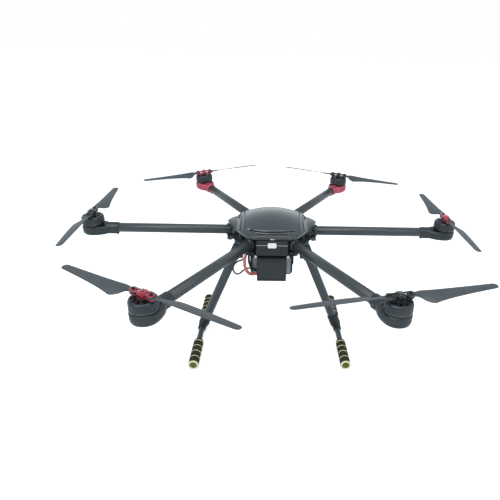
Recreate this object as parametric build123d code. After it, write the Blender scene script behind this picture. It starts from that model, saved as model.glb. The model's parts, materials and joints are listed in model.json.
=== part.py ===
from build123d import *
import math
import os

# Folding hexacopter. Millimetres, +Z up, +X to the craft's right, +Y to its rear.
# The origin is on the ground under the middle of the hub.

# ---- driving dimensions -------------------------------------------------------------------
MOTOR_R = 480.0          # hub centre to each motor axis: a 960 mm wheelbase
ARM_Z = 334.0            # height of the arm axes above the ground
TUBE_D = 25.0            # arm and leg tubes
TUBE_WALL = 1.0
HUB_R = 121.0            # hub plate, centre to corner
PLATE_T = 2.0
PLATE_GAP = 30.0         # clear height between the two hub plates
PROP_D = 431.0           # 17 inch propeller
LEG_SPLAY = 22.7         # legs out from the vertical, degrees
SKID_X = 205.0           # skid tube, out from the centre line
SKID_FRONT = 181.0       # skid ends, caps included, ahead of and behind the leg
SKID_REAR = 165.0
FOAM_R = 14.0            # the foam sleeves stand on the ground

ARM_ANGLES = {
    "right": 0,
    "rear_right": 60,
    "rear_left": 120,
    "left": 180,
    "front_left": 240,
    "front_right": 300,
}
# Where each propeller has stopped: the direction of its blade a, in degrees from +X.
PROP_ANGLES = {
    "right": 90.1,
    "rear_right": 153.1,
    "rear_left": 212.3,
    "left": 91.1,
    "front_left": 149.9,
    "front_right": 192.4,
}
# +1 turns anticlockwise from above. Neighbours turn opposite ways.
PROP_TURNS = {
    "right": -1,
    "rear_right": 1,
    "rear_left": -1,
    "left": 1,
    "front_left": -1,
    "front_right": 1,
}
SIDES = {"right": 0, "left": 180}

# ---- fits ---------------------------------------------------------------------------------
RUN = 0.05               # radial clearance of a turning pin
SNUG = 0.02              # radial clearance of a fixed pin or a glued tube
GAP = 0.3                # clearance between faces that pass each other

# ---- arm hinge, in the arm's own frame: +X out along the arm, z = 0 on the arm axis --------
PIVOT_R = 114.0
PIVOT_Z = -22.0
HINGE_PIN_R = 3.0
LUG_HALF = 7.0           # half width of the arm's hinge lug
LUG_R = 7.5
LUG_OUT = 122.5          # outer end and underside of the lug
LUG_LOW = -29.0
EAR_T = 2.7
EAR_R = 6.5
COLLAR_R = 15.6
COLLAR_IN = 110.0        # the round collar at the arm root, inner and outer ends
COLLAR_OUT = 124.0

# ---- motor, same frame, heights from the arm axis -------------------------------------------
CAN_R = 28.5
MOUNT_LOW = -15.0        # underside of the motor mount, and its top
BASE_Z = 9.0
SKIRT_Z = 11.4           # lower edge of the rotor bell
BELL_TOP = 34.5
STATOR = (14.0, 28.0)    # lower and upper ends of the stator teeth
SHAFT_R = 3.0
STEM_R = 10.0            # the stator's hollow stem, which holds the bearings
BEARING_R = 8.0
SLEEVE_R = 14.6          # motor mount sleeve on the arm tube
SLEEVE_IN = 414.0
SLEEVE_OUT = 447.0
TUBE_OUT = 446.0

# ---- propeller ------------------------------------------------------------------------------
PROP_Z = 42.6
CLAMP_T = 2.4
CLAMP_GAP = 5.2
FOLD_R = 22.0            # motor axis to each fold bolt
EYE_R = 7.5
BOLT_R = 2.0
PROP_PITCH = 147.0       # 5.8 inch advance per turn
BLADE_ROOT = 30.7        # the blade proper starts just outside the clamp
BLADE_WIDEST = 66.0
BLADE_LEAD = 6.8         # leading edge, ahead of the line of the bolts
ROOT_TRAIL = 6.6         # trailing edge behind that line at the root, widest place and tip
WIDEST_TRAIL = 24.5
TIP_TRAIL = 9.2
TIP_ROUND = 9.0          # length of the rounded tip

# ---- legs, heights from the arm axis ----------------------------------------------------------
SKID_Z = FOAM_R - ARM_Z
LEG_PIVOT_Z = -44.0
LEG_PIVOT_X = SKID_X - (LEG_PIVOT_Z - SKID_Z) * math.tan(math.radians(LEG_SPLAY))
LEG_PIN_R = 4.0
LEG_EYE_R = 11.0
LEG_SOCKET_R = 16.0
LEG_SOCKET_END = 46.0
CHEEK_IN = LEG_SOCKET_R + 0.6
CHEEK_T = 3.6
SKID_R = 8.0
SKID_SLEEVE = 13.0       # half length of the joint's sleeve on the skid
FOAM_LENGTH = 103.0
CAP_T = 4.0

# ---- under the hub, heights from the arm axis ---------------------------------------------------
RAIL_X = 42.0
RAIL_Z = -34.5
RAIL_R = 4.0
RAIL_FRONT = -100.0
RAIL_REAR = 104.0
TRAY_TOP = RAIL_Z - RAIL_R - GAP
TRAY_T = 1.5
BATTERY_W = 110.0
BATTERY_H = 64.0
BATTERY_FRONT = -66.0
BATTERY_REAR = 64.0
BATTERY_TOP = TRAY_TOP - TRAY_T - 0.4
EDGE_R = 9.0             # rounded long edges of the battery
STRAP_T = 2.0
STRAP_W = 24.0
BOX_W = 77.0
BOX_FRONT = -101.0
BOX_REAR = -81.0
BOX_BOTTOM = -105.5
BAY_W = 82.0
BAY_FRONT = -113.0
BAY_REAR = -94.5
BAY_BOTTOM = -25.0
RED_D = 8.0
BLACK_D = 6.2
SIGNAL_D = 4.4

# Corner points of the cords' routes, heights from the arm axis.
RED_ROUTE = [
    (-28, -74, -98), (-43, -74, -98), (-57, -79, -98), (-68, -83, -84),
    (-73, -81, -62), (-68, -64, -38), (-68, -64, -17),
]
BLACK_ROUTE = [
    (-28, -74, -89), (-41, -74, -89), (-53, -76, -82), (-59, -78, -66),
    (-61, -76, -48), (-59, -70, -34), (-59, -70, -17),
]
SIGNAL_ROUTE = [
    (-55, -63, -87), (-66, -63, -87), (-77, -66, -93), (-87, -69, -103), (-99, -71, -100),
    (-104, -72, -84), (-99, -72, -70), (-88, -72, -61), (-76, -69, -60), (-70, -58, -50),
    (-74, -55, -34), (-74, -55, -17),
]

PLATE_LOW = -PLATE_GAP / 2 - PLATE_T     # underside of the bottom plate
PLATE_HIGH = PLATE_GAP / 2 + PLATE_T     # upper face of the top plate
CANOPY_TOP = 52.0
CANOPY_WALL = 2.0
CROWN_ACROSS = 205.0     # radii of the crown, side to side and front to rear
CROWN_ALONG = 235.0
WING_IN = 89.0           # blunt corners of the canopy over the left and right arm roots
WING_HALF = 36.0
WING_TOP = 27.5
POST_R = 84.0
POST_OFF = 20.0          # posts stand this many degrees either side of each arm
SCREW_HOLE_R = 1.5
THREAD = 6.0             # depth of thread in each end of a post
ACCESSORY = (0.0, 84.0, 40.0, 16.0)      # bolt pattern: centre x, y and spacings x, y
ACCESSORY_HOLE_R = 1.6


# ---- helpers --------------------------------------------------------------------------------
def block(x, y, z):
    """A box from three (low, high) pairs."""
    size = [high - low for low, high in (x, y, z)]
    middle = [(high + low) / 2 for low, high in (x, y, z)]
    return Pos(*middle) * Box(*size)


def disc(radius, low, high, x=0.0, y=0.0):
    """An upright cylinder between two heights."""
    return Pos(x, y, (low + high) / 2) * Cylinder(radius, high - low)


def rod(radius, start, end):
    """A cylinder from one point to another."""
    run = Vector(*end) - Vector(*start)
    plane = Plane(origin=start, z_dir=run)
    return extrude(plane * Circle(radius), run.length)


def ring(outer, inner, start, end):
    return rod(outer, start, end) - rod(inner, start, end)


def on_arm(shape, angle):
    return Pos(0, 0, ARM_Z) * Rot(0, 0, angle) * shape


def at_hub(shape):
    return Pos(0, 0, ARM_Z) * shape


def save(node, shapes):
    """Write one sub-part: every solid of every shape, as one group."""
    solids = [solid for shape in shapes for solid in shape.solids()]
    export_step(Compound(children=solids), f"parts/{node}.step")


# ---- hub ------------------------------------------------------------------------------------
def hex_outline(radius, bulge):
    """A hexagon with corners at the arms and sides bowed outwards."""
    sides = []
    for index in range(6):
        start, end = (math.radians(60 * step) for step in (index, index + 1))
        middle = (start + end) / 2
        flat = radius * math.cos(math.radians(30)) + bulge
        sides.append(ThreePointArc(
            (radius * math.cos(start), radius * math.sin(start)),
            (flat * math.cos(middle), flat * math.sin(middle)),
            (radius * math.cos(end), radius * math.sin(end)),
        ))
    return make_face(Wire(sides))


def post_places():
    for angle in ARM_ANGLES.values():
        for side in (-1, 1):
            turn = math.radians(angle + side * POST_OFF)
            yield POST_R * math.cos(turn), POST_R * math.sin(turn)


def hub_plate(low, radius):
    plate = Pos(0, 0, low) * extrude(RegularPolygon(radius, 6), PLATE_T)
    for angle in ARM_ANGLES.values():
        notch = block((103, HUB_R + 4), (-13.5, 13.5), (low - 1, low + PLATE_T + 1))
        plate -= Rot(0, 0, angle) * notch
        window = SlotOverall(44, 15)
        plate -= Rot(0, 0, angle + 30) * Pos(64, 0, low - 1) * extrude(window, PLATE_T + 2)
    for x, y in post_places():
        plate -= disc(SCREW_HOLE_R, low - 1, low + PLATE_T + 1, x, y)
    return plate


def bottom_plate():
    plate = hub_plate(PLATE_LOW, HUB_R)
    plate -= block((-HUB_R / 2 - 2, HUB_R / 2 + 2), (-HUB_R, BAY_REAR + 0.6),
                   (PLATE_LOW - 1, PLATE_LOW + PLATE_T + 1))
    x, y, wide, deep = ACCESSORY
    for sx in (-1, 1):
        for sy in (-1, 1):
            plate -= disc(ACCESSORY_HOLE_R, PLATE_LOW - 1, PLATE_LOW + PLATE_T + 1,
                          x + sx * wide / 2, y + sy * deep / 2)
    return [at_hub(plate)]


def top_plate():
    return [at_hub(hub_plate(PLATE_GAP / 2, HUB_R - 6))]


def dome(drop):
    """Everything under the canopy's crown, lowered by drop. It curves more side to side."""
    across, along = CROWN_ACROSS - drop, CROWN_ALONG - drop
    low = PLATE_HIGH - 6
    top = CANOPY_TOP - drop
    reach = HUB_R + 10
    edge = top - along + math.sqrt(along ** 2 - reach ** 2)
    crown = ThreePointArc((-reach, edge), (0, top), (reach, edge))
    sides = Polyline((reach, edge), (reach, low - 60), (-reach, low - 60), (-reach, edge))
    face = Plane.YZ * make_face([crown, sides])
    axis = Axis((0, 0, top - across), (0, 1, 0))
    half = 42.0
    return revolve(face, axis, revolution_arc=half) + revolve(face, axis, revolution_arc=-half)


def canopy():
    base = PLATE_HIGH
    outer = Pos(0, 0, base) * extrude(hex_outline(HUB_R, 2.6), 40)
    inner = Pos(0, 0, base - 1) * extrude(hex_outline(HUB_R - 2.4, 2.6), 40)
    wings, hollows = [], []
    for side in (-1, 1):
        x = sorted((side * WING_IN, side * (HUB_R + 10)))
        wings.append(block(x, (-WING_HALF, WING_HALF), (base, WING_TOP)))
        hollows.append(block(x, (-WING_HALF, WING_HALF), (base - 1, WING_TOP - CANOPY_WALL)))
    shell = (outer & (dome(0) + wings)) - (inner & (dome(CANOPY_WALL) + hollows))
    # two raised ridges on each side of the glossy middle
    ridge = dome(-1.3) - dome(CANOPY_WALL - 0.5)
    for x in (74.5, 84.5):
        for side in (-1, 1):
            strip = block((side * x - 1.3, side * x + 1.3), (-80, 80), (base + 1, 60))
            shell += ridge & outer & strip
    # the dark slot along the front of the crown
    lens = make_face([
        ThreePointArc((-62, -72), (0, -86), (62, -72)),
        ThreePointArc((62, -72), (0, -95), (-62, -72)),
    ])
    groove = extrude(Pos(0, 0, base) * lens, 50)
    shell -= groove & (dome(-2) - dome(1.2))
    # three-cornered vents at the back of the side wings
    for side in (-1, 1):
        vent = Polyline((side * 90, 25), (side * 107, 15), (side * 90, 13), close=True)
        shell -= extrude(Pos(0, 0, base + 2) * make_face(vent), 50)
    return [at_hub(shell)]


def frame_posts():
    """Threaded posts between the plates, each with the screw that holds it from below."""
    half = PLATE_GAP / 2
    parts = []
    for x, y in post_places():
        post = disc(3.2, -half, half, x, y)
        post -= disc(SCREW_HOLE_R, -half, THREAD - half, x, y)
        post -= disc(SCREW_HOLE_R, half - THREAD, half, x, y)
        head = disc(2.8, PLATE_LOW - 2, PLATE_LOW, x, y)
        shank = disc(1.4, PLATE_LOW, PLATE_LOW + 8, x, y)
        parts += [at_hub(post), at_hub(head + shank)]
    return parts


def arm_hinge_bracket():
    """The fixed half of an arm hinge, in the arm's frame, with its pin."""
    ear_in = LUG_HALF + GAP
    ear_out = ear_in + EAR_T
    body = block((92, 109.5), (-ear_out, ear_out), (-PLATE_GAP / 2, PLATE_GAP / 2))
    outline = Polyline((103.4, -14), (103.4, -22), (110, PIVOT_Z - 5.4), (PIVOT_R, PIVOT_Z - EAR_R),
                       (PIVOT_R, PIVOT_Z + EAR_R), (109.5, -14), close=True)
    for side in (-1, 1):
        low = min(side * ear_in, side * ear_out)
        ear = extrude(Plane.XZ.offset(-low) * make_face(outline), -EAR_T)
        ear += rod(EAR_R, (PIVOT_R, side * ear_in, PIVOT_Z), (PIVOT_R, side * ear_out, PIVOT_Z))
        body += ear
    # room for the lug between the ears
    body -= rod(LUG_R + 0.5, (PIVOT_R, -ear_in, PIVOT_Z), (PIVOT_R, ear_in, PIVOT_Z))
    reach = ear_out + 1.4
    body -= rod(HINGE_PIN_R + SNUG, (PIVOT_R, -reach, PIVOT_Z), (PIVOT_R, reach, PIVOT_Z))
    pin = rod(HINGE_PIN_R, (PIVOT_R, -reach, PIVOT_Z), (PIVOT_R, reach, PIVOT_Z))
    return [body, pin]


def arm_hinge_brackets():
    return [on_arm(shape, angle) for angle in ARM_ANGLES.values() for shape in arm_hinge_bracket()]


def flight_controller():
    box = block((-22, 22), (-50, 14), (PLATE_HIGH + 1, PLATE_HIGH + 15))
    box = fillet(box.edges().filter_by(Axis.Z), 4)
    foot = block((-18, 18), (-46, 10), (PLATE_HIGH, PLATE_HIGH + 1))
    return [at_hub(box + foot)]


def satellite_receiver():
    puck = disc(22, PLATE_HIGH, PLATE_HIGH + 11, 0, 46)
    puck = chamfer(puck.edges().group_by(Axis.Z)[-1], 2)
    return [at_hub(puck)]


def power_board():
    board = disc(38, -13.4, -11.8)
    for turn in range(6):
        pad = block((28, 36), (-4, 4), (-11.8, -9.5))
        board += Rot(0, 0, 60 * turn + 30) * pad
    return [at_hub(board)]


def speed_controllers():
    unit = block((42, 86), (-10.5, 10.5), (-14.2, -6))
    unit = fillet(unit.edges().filter_by(Axis.X), 1.5)
    return [on_arm(unit, angle) for angle in ARM_ANGLES.values()]


# ---- front bay and what hangs under the hub ---------------------------------------------------
def front_bay():
    half = BAY_W / 2
    seam = 3.5
    lower = block((-half, half), (BAY_FRONT, BAY_REAR), (BAY_BOTTOM, seam - 0.5))
    upper = block((-half, half), (BAY_FRONT, BAY_REAR), (seam + 0.5, PLATE_GAP / 2 - 0.4))
    trim = block((-half + 0.6, half - 0.6), (BAY_FRONT - 0.5, BAY_REAR), (seam - 0.5, seam + 0.5))
    tongue = block((-12, 12), (BAY_REAR, BAY_REAR + 7), (-PLATE_GAP / 2, -PLATE_GAP / 2 + 4))
    return [at_hub(lower + tongue), at_hub(trim), at_hub(upper)]


def status_lens():
    lens = extrude(Plane.XZ.offset(-BAY_FRONT + 0.5) * Pos(0, 3.5) * RectangleRounded(22, 14, 3), 1.3)
    return [at_hub(lens)]


def payload_rails():
    parts = []
    for side in (-1, 1):
        x = side * RAIL_X
        parts.append(ring(RAIL_R, RAIL_R - 1, (x, RAIL_FRONT, RAIL_Z), (x, RAIL_REAR, RAIL_Z)))
        parts.append(rod(RAIL_R, (x, RAIL_FRONT - 1.6, RAIL_Z), (x, RAIL_FRONT, RAIL_Z)))
        for y in (-22, 75):
            clamp = block((x - 8, x + 8), (y - 6, y + 6), (RAIL_Z - RAIL_R, PLATE_LOW))
            clamp -= rod(RAIL_R + SNUG, (x, y - 7, RAIL_Z), (x, y + 7, RAIL_Z))
            parts.append(clamp)
    return [at_hub(part) for part in parts]


def battery_tray():
    tray = block((-50, 50), (BOX_FRONT + 3, BATTERY_REAR), (TRAY_TOP - TRAY_T, TRAY_TOP))
    tray = fillet(tray.edges().filter_by(Axis.Z), 6)
    for y in (-4, 26):
        tray -= Pos(0, y, TRAY_TOP - 3) * extrude(SlotOverall(60, 12), 6)
    return [at_hub(tray)]


def battery():
    middle = BATTERY_TOP - BATTERY_H / 2
    profile = RectangleRounded(BATTERY_W, BATTERY_H, EDGE_R)
    pack = extrude(Plane.XZ.offset(-BATTERY_REAR) * Pos(0, middle) * profile,
                   BATTERY_REAR - BATTERY_FRONT)
    outlet = block((-28, 6), (BATTERY_FRONT - 12, BATTERY_FRONT), (-104, -84))
    outlet = fillet(outlet.edges().filter_by(Axis.X).group_by(Axis.Y)[0], 2)
    return [at_hub(pack), at_hub(outlet)]


def battery_straps():
    """Two loops that hold the battery and its tray up against the rails."""
    top = RAIL_Z + RAIL_R + 0.5
    bottom = BATTERY_TOP - BATTERY_H - GAP
    wide = BATTERY_W + 2 * GAP
    parts = []
    for y in (-59, 36):
        plane = Plane.XZ.offset(-y) * Pos(0, (top + bottom) / 2)
        outer = RectangleRounded(wide + 2 * STRAP_T, top - bottom + 2 * STRAP_T, EDGE_R + STRAP_T)
        inner = RectangleRounded(wide, top - bottom, EDGE_R)
        parts.append(at_hub(extrude(plane * (outer - inner), -STRAP_W)))
    return parts


def equipment_box():
    half = BOX_W / 2
    top = TRAY_TOP - TRAY_T
    box = block((-half, half), (BOX_FRONT, BOX_REAR), (BOX_BOTTOM, top))
    box = fillet(box.edges().filter_by(Axis.Y), 2)
    lip = block((-half + 6, half - 6), (BOX_REAR, BOX_REAR + 8), (top - 3, top))
    return [at_hub(box + lip)]


def cord(route, diameter):
    """A tube along straight runs joined by arcs as large as the runs allow."""
    points = [Vector(*point) for point in route]
    radii = []
    for before, here, after in zip(points, points[1:], points[2:]):
        turn = math.radians((here - before).get_angle(after - here))
        shorter = min((here - before).length, (after - here).length)
        radii.append(0.45 * shorter / math.tan(turn / 2))
    path = FilletPolyline(*points, radius=radii)
    plane = Plane(origin=points[0], z_dir=points[1] - points[0])
    tube = sweep(plane * Circle(diameter / 2), path=path)
    section = math.pi * diameter ** 2 / 4
    print("cord radii", [round(radius, 1) for radius in radii],
          "length", round(path.length, 1), "volume ratio", round(tube.volume / section / path.length, 4))
    return [at_hub(tube)]


# ---- arms, motors and propellers ------------------------------------------------------------
def arm():
    """Root knuckle with its lug, and the carbon tube."""
    collar = rod(COLLAR_R, (COLLAR_IN, 0, 0), (COLLAR_OUT, 0, 0))
    collar = chamfer(collar.edges().group_by(Axis.X)[-1], 1.5)
    lug = block((COLLAR_IN, LUG_OUT), (-LUG_HALF, LUG_HALF), (PIVOT_Z, 0))
    lug += block((PIVOT_R, LUG_OUT), (-LUG_HALF, LUG_HALF), (LUG_LOW, PIVOT_Z))
    lug += rod(LUG_R, (PIVOT_R, -LUG_HALF, PIVOT_Z), (PIVOT_R, LUG_HALF, PIVOT_Z))
    bore = rod(HINGE_PIN_R + RUN, (PIVOT_R, -20, PIVOT_Z), (PIVOT_R, 20, PIVOT_Z))
    seat = rod(TUBE_D / 2 + SNUG, (COLLAR_IN + 3, 0, 0), (COLLAR_OUT + 1, 0, 0))
    knuckle = collar + lug - bore - seat
    tube = ring(TUBE_D / 2, TUBE_D / 2 - TUBE_WALL, (COLLAR_IN + 3.2, 0, 0), (TUBE_OUT, 0, 0))
    return [knuckle, tube]


def motor_mount():
    """Streamlined mount in the arm's frame, with the motor's fixed parts."""
    nose = CAN_R + 0.5
    tail_x = SLEEVE_IN + 4
    lean = math.asin((nose - 13.5) / (MOTOR_R - tail_x))
    touch = (MOTOR_R - nose * math.sin(lean), nose * math.cos(lean))
    tail = (tail_x, 13.5)
    outline = make_face([
        Line(tail, touch),
        ThreePointArc(touch, (MOTOR_R + nose, 0), (touch[0], -touch[1])),
        Line((touch[0], -touch[1]), (tail[0], -tail[1])),
        Line((tail[0], -tail[1]), tail),
    ])
    shell = Pos(0, 0, MOUNT_LOW) * extrude(outline, BASE_Z - MOUNT_LOW)
    shell = fillet(shell.edges().group_by(Axis.Z)[0], 6)
    shell += rod(SLEEVE_R, (SLEEVE_IN, 0, 0), (SLEEVE_OUT, 0, 0))
    shell -= rod(TUBE_D / 2 + SNUG, (SLEEVE_IN - 1, 0, 0), (SLEEVE_OUT - 0.8, 0, 0))
    shell -= disc(22.5, MOUNT_LOW + 5, BASE_Z - 3, MOTOR_R)
    for turn in range(8):
        slot = block((11, 20), (-1.6, 1.6), (MOUNT_LOW - 1, MOUNT_LOW + 6))
        shell -= Pos(MOTOR_R, 0, 0) * Rot(0, 0, 45 * turn) * slot
    shell += disc(4, -SLEEVE_R - 4, -SLEEVE_R + 0.5, SLEEVE_IN + 5)
    low, high = STATOR
    base = disc(21, BASE_Z, SKIRT_Z) + disc(STEM_R, SKIRT_Z, high + 2)
    base -= disc(BEARING_R, BASE_Z + 1, high + 3) + disc(SHAFT_R + 1, BASE_Z - 1, BASE_Z + 2)
    core = disc(12, low, high) - disc(STEM_R + SNUG, low - 1, high + 1)
    for turn in range(12):
        tooth = block((11.5, 21), (-1.5, 1.5), STATOR) + block((21, 23.5), (-4.4, 4.4), STATOR)
        core += Rot(0, 0, 30 * turn) * tooth
    bearings = [disc(BEARING_R - SNUG, start, start + 4) - disc(SHAFT_R + RUN, start - 1, start + 5)
                for start in (BASE_Z + 2, high - 2)]
    motor = [Pos(MOTOR_R, 0, 0) * shape for shape in (base, core, *bearings)]
    return [shell, *motor]


def rotor_bell():
    """The turning can and its shaft, upright on the motor axis."""
    can = disc(CAN_R, SKIRT_Z, BELL_TOP)
    can = chamfer(can.edges().group_by(Axis.Z)[-1], 2.5)
    can -= disc(CAN_R - 3.2, SKIRT_Z - 1, BELL_TOP - 3)
    for turn in range(10):
        slot = Rot(0, 0, 36 * turn) * Pos(17.5, 0, BELL_TOP - 6) * extrude(SlotOverall(13, 4.6), 8)
        can -= slot
    boss = disc(8, BELL_TOP - 3, PROP_Z - CLAMP_GAP / 2 - CLAMP_T)
    can = can + boss - disc(SHAFT_R + SNUG, 20, 40)
    shaft = disc(SHAFT_R, BASE_Z + 2, PROP_Z + 9)
    return [can, shaft]


def clamp_plate(low):
    plan = SlotOverall(2 * (FOLD_R + EYE_R + 0.6), 2 * EYE_R + 1.2)
    plan += Circle(11)
    plate = Pos(0, 0, low) * extrude(plan, CLAMP_T)
    for side in (-1, 1):
        plate -= disc(BOLT_R + SNUG, low - 1, low + CLAMP_T + 1, side * FOLD_R)
    return plate - disc(SHAFT_R + SNUG, low - 1, low + CLAMP_T + 1)


def prop_clamp():
    half = CLAMP_GAP / 2
    lower = clamp_plate(PROP_Z - half - CLAMP_T)
    lower += disc(6.5, PROP_Z - half, PROP_Z + half) - disc(SHAFT_R + SNUG, PROP_Z - 9, PROP_Z + 9)
    upper = clamp_plate(PROP_Z + half)
    top = PROP_Z + half + CLAMP_T
    cap = extrude(Pos(0, 0, top) * RegularPolygon(6, 6), 4) - disc(SHAFT_R + SNUG, top - 1, top + 1.7)
    cap -= disc(SHAFT_R + SNUG, top, PROP_Z + 9.2)
    parts = [lower, upper, cap]
    for side in (-1, 1):
        bolt = disc(BOLT_R, PROP_Z - half - CLAMP_T - 2, top + 1, side * FOLD_R)
        bolt += disc(3.7, top, top + 2.6, side * FOLD_R)
        bolt += disc(3.4, PROP_Z - half - CLAMP_T - 2.4, PROP_Z - half - CLAMP_T, side * FOLD_R)
        parts.append(bolt)
    return parts


def smooth(value):
    """0 to 1 with level ends."""
    value = min(max(value, 0.0), 1.0)
    return value * value * (3 - 2 * value)


def blade_section(distance):
    """A thin two-arc aerofoil across the span, with its leading edge towards +Y."""
    tip = PROP_D / 2
    if distance < BLADE_WIDEST:
        share = smooth((distance - BLADE_ROOT) / (BLADE_WIDEST - BLADE_ROOT))
        trail = -ROOT_TRAIL - (WIDEST_TRAIL - ROOT_TRAIL) * share
    else:
        share = ((distance - BLADE_WIDEST) / (tip - BLADE_WIDEST)) ** 0.85
        trail = -WIDEST_TRAIL + (WIDEST_TRAIL - TIP_TRAIL) * share
    lead = BLADE_LEAD
    inside = max(0.0, distance - tip + TIP_ROUND) / TIP_ROUND
    narrow = 1 - 0.45 * inside ** 2
    middle = (lead + trail) / 2
    lead, trail = middle + (lead - middle) * narrow, middle + (trail - middle) * narrow
    twist = smooth((distance - BLADE_ROOT + 6) / 26)
    rise = twist * PROP_PITCH / (2 * math.pi * distance)
    thick = 3.9 - 2.6 * smooth((distance - BLADE_ROOT) / 60) - 0.5 * distance / tip
    front = (lead, lead * rise)
    back = (trail, trail * rise)
    crown_y = (lead + trail) / 2 + 0.12 * (lead - trail)
    camber = 0.03 * (lead - trail) * twist
    top = ThreePointArc(back, (crown_y, crown_y * rise + camber + thick / 2), front)
    bottom = ThreePointArc(front, (crown_y, crown_y * rise + camber - thick / 2), back)
    return Plane.YZ.offset(distance) * make_face([top, bottom])


def blade_stations():
    """Close together at the root and the tip, wider apart along the straight part."""
    tip = PROP_D / 2
    for step in range(7):
        yield BLADE_ROOT + (BLADE_WIDEST - BLADE_ROOT) * step / 6
    for step in range(1, 9):
        yield BLADE_WIDEST + (tip - TIP_ROUND - BLADE_WIDEST) * step / 8
    for share in (0.5, 0.8, 1.0):
        yield tip - TIP_ROUND * (1 - share)


def blade(turn):
    """A folding blade along +X for a clamp on the Z axis. turn is its sense of rotation."""
    wing = loft([blade_section(distance) for distance in blade_stations()], ruled=True)
    thick = CLAMP_GAP - 2 * GAP
    root = disc(EYE_R, -thick / 2, thick / 2, FOLD_R)
    neck = block((FOLD_R, BLADE_ROOT + 1), (-5.6, 5.6), (-1.6, 1.6))
    shape = wing + root + neck - disc(BOLT_R + RUN, -4, 4, FOLD_R)
    if turn < 0:
        shape = mirror(shape, Plane.XZ)
    return Pos(0, 0, PROP_Z) * shape


# ---- legs, drawn for the right side ------------------------------------------------------------
def along_leg(distance):
    turn = math.radians(LEG_SPLAY)
    return (LEG_PIVOT_X + distance * math.sin(turn), 0, LEG_PIVOT_Z - distance * math.cos(turn))


LEG_LENGTH = (LEG_PIVOT_Z - SKID_Z) / math.cos(math.radians(LEG_SPLAY))


def leg(front):
    """Knuckle, tube, joint and skid. front is the side of Y that the craft's front is on."""
    knuckle = rod(LEG_EYE_R, (LEG_PIVOT_X, -LEG_SOCKET_R, LEG_PIVOT_Z),
                  (LEG_PIVOT_X, LEG_SOCKET_R, LEG_PIVOT_Z))
    knuckle += rod(LEG_SOCKET_R, along_leg(6), along_leg(LEG_SOCKET_END))
    knuckle -= rod(LEG_PIN_R + RUN, (LEG_PIVOT_X, -30, LEG_PIVOT_Z), (LEG_PIVOT_X, 30, LEG_PIVOT_Z))
    knuckle -= rod(TUBE_D / 2 + SNUG, along_leg(14), along_leg(LEG_SOCKET_END + 1))
    tube = ring(TUBE_D / 2, TUBE_D / 2 - TUBE_WALL, along_leg(14.2), along_leg(LEG_LENGTH - 15))
    joint = rod(15.5, along_leg(LEG_LENGTH - 46), along_leg(LEG_LENGTH - 6))
    joint -= rod(TUBE_D / 2 + SNUG, along_leg(LEG_LENGTH - 47), along_leg(LEG_LENGTH - 14.8))
    joint += rod(12, (SKID_X, -SKID_SLEEVE, SKID_Z), (SKID_X, SKID_SLEEVE, SKID_Z))
    joint -= rod(SKID_R + SNUG, (SKID_X, -30, SKID_Z), (SKID_X, 30, SKID_Z))
    ends = (front * (SKID_FRONT - CAP_T / 2), -front * (SKID_REAR - CAP_T / 2))
    skid = ring(SKID_R, SKID_R - 1, *[(SKID_X, y, SKID_Z) for y in ends])
    return [knuckle, tube, joint, skid]


def foam_grips(front):
    """Two foam sleeves and the caps that keep them on, for one skid."""
    parts = []
    for end in (front * SKID_FRONT, -front * SKID_REAR):
        side = math.copysign(1, end)
        outer = end - side * CAP_T
        inner = outer - side * FOAM_LENGTH
        sleeve = ring(FOAM_R, SKID_R + SNUG, (SKID_X, inner, SKID_Z), (SKID_X, outer, SKID_Z))
        cap = rod(FOAM_R - 1, (SKID_X, outer, SKID_Z), (SKID_X, end, SKID_Z))
        cap -= rod(SKID_R + SNUG, (SKID_X, outer, SKID_Z), (SKID_X, end - side * CAP_T / 2, SKID_Z))
        parts += [sleeve, cap]
    return parts


def retract_unit():
    """Block, cheeks and pin that carry one leg, with the gear motor that swings it."""
    outer = CHEEK_IN + CHEEK_T
    body = block((58, 102), (-outer, outer), (-26.5, PLATE_LOW))
    for side in (-1, 1):
        low, high = sorted((side * CHEEK_IN, side * outer))
        body += block((77, 102), (low, high), (-66, -20))
        body += rod(12.5, (LEG_PIVOT_X, low, -66), (LEG_PIVOT_X, high, -66))
        body += block((79, LEG_PIVOT_X), (low, high), (-78.4, -66))
    pin_line = ((LEG_PIVOT_X, -outer - 1.5, LEG_PIVOT_Z), (LEG_PIVOT_X, outer + 1.5, LEG_PIVOT_Z))
    body -= rod(LEG_PIN_R + SNUG, *pin_line)
    pin = rod(LEG_PIN_R, *pin_line)
    motor = rod(9, (67.5, -outer, -36), (67.5, outer + 8, -36))
    return [body, pin, motor]


def both_sides(shapes):
    return [at_hub(Rot(0, 0, turn) * shape) for turn in SIDES.values() for shape in shapes]


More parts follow.
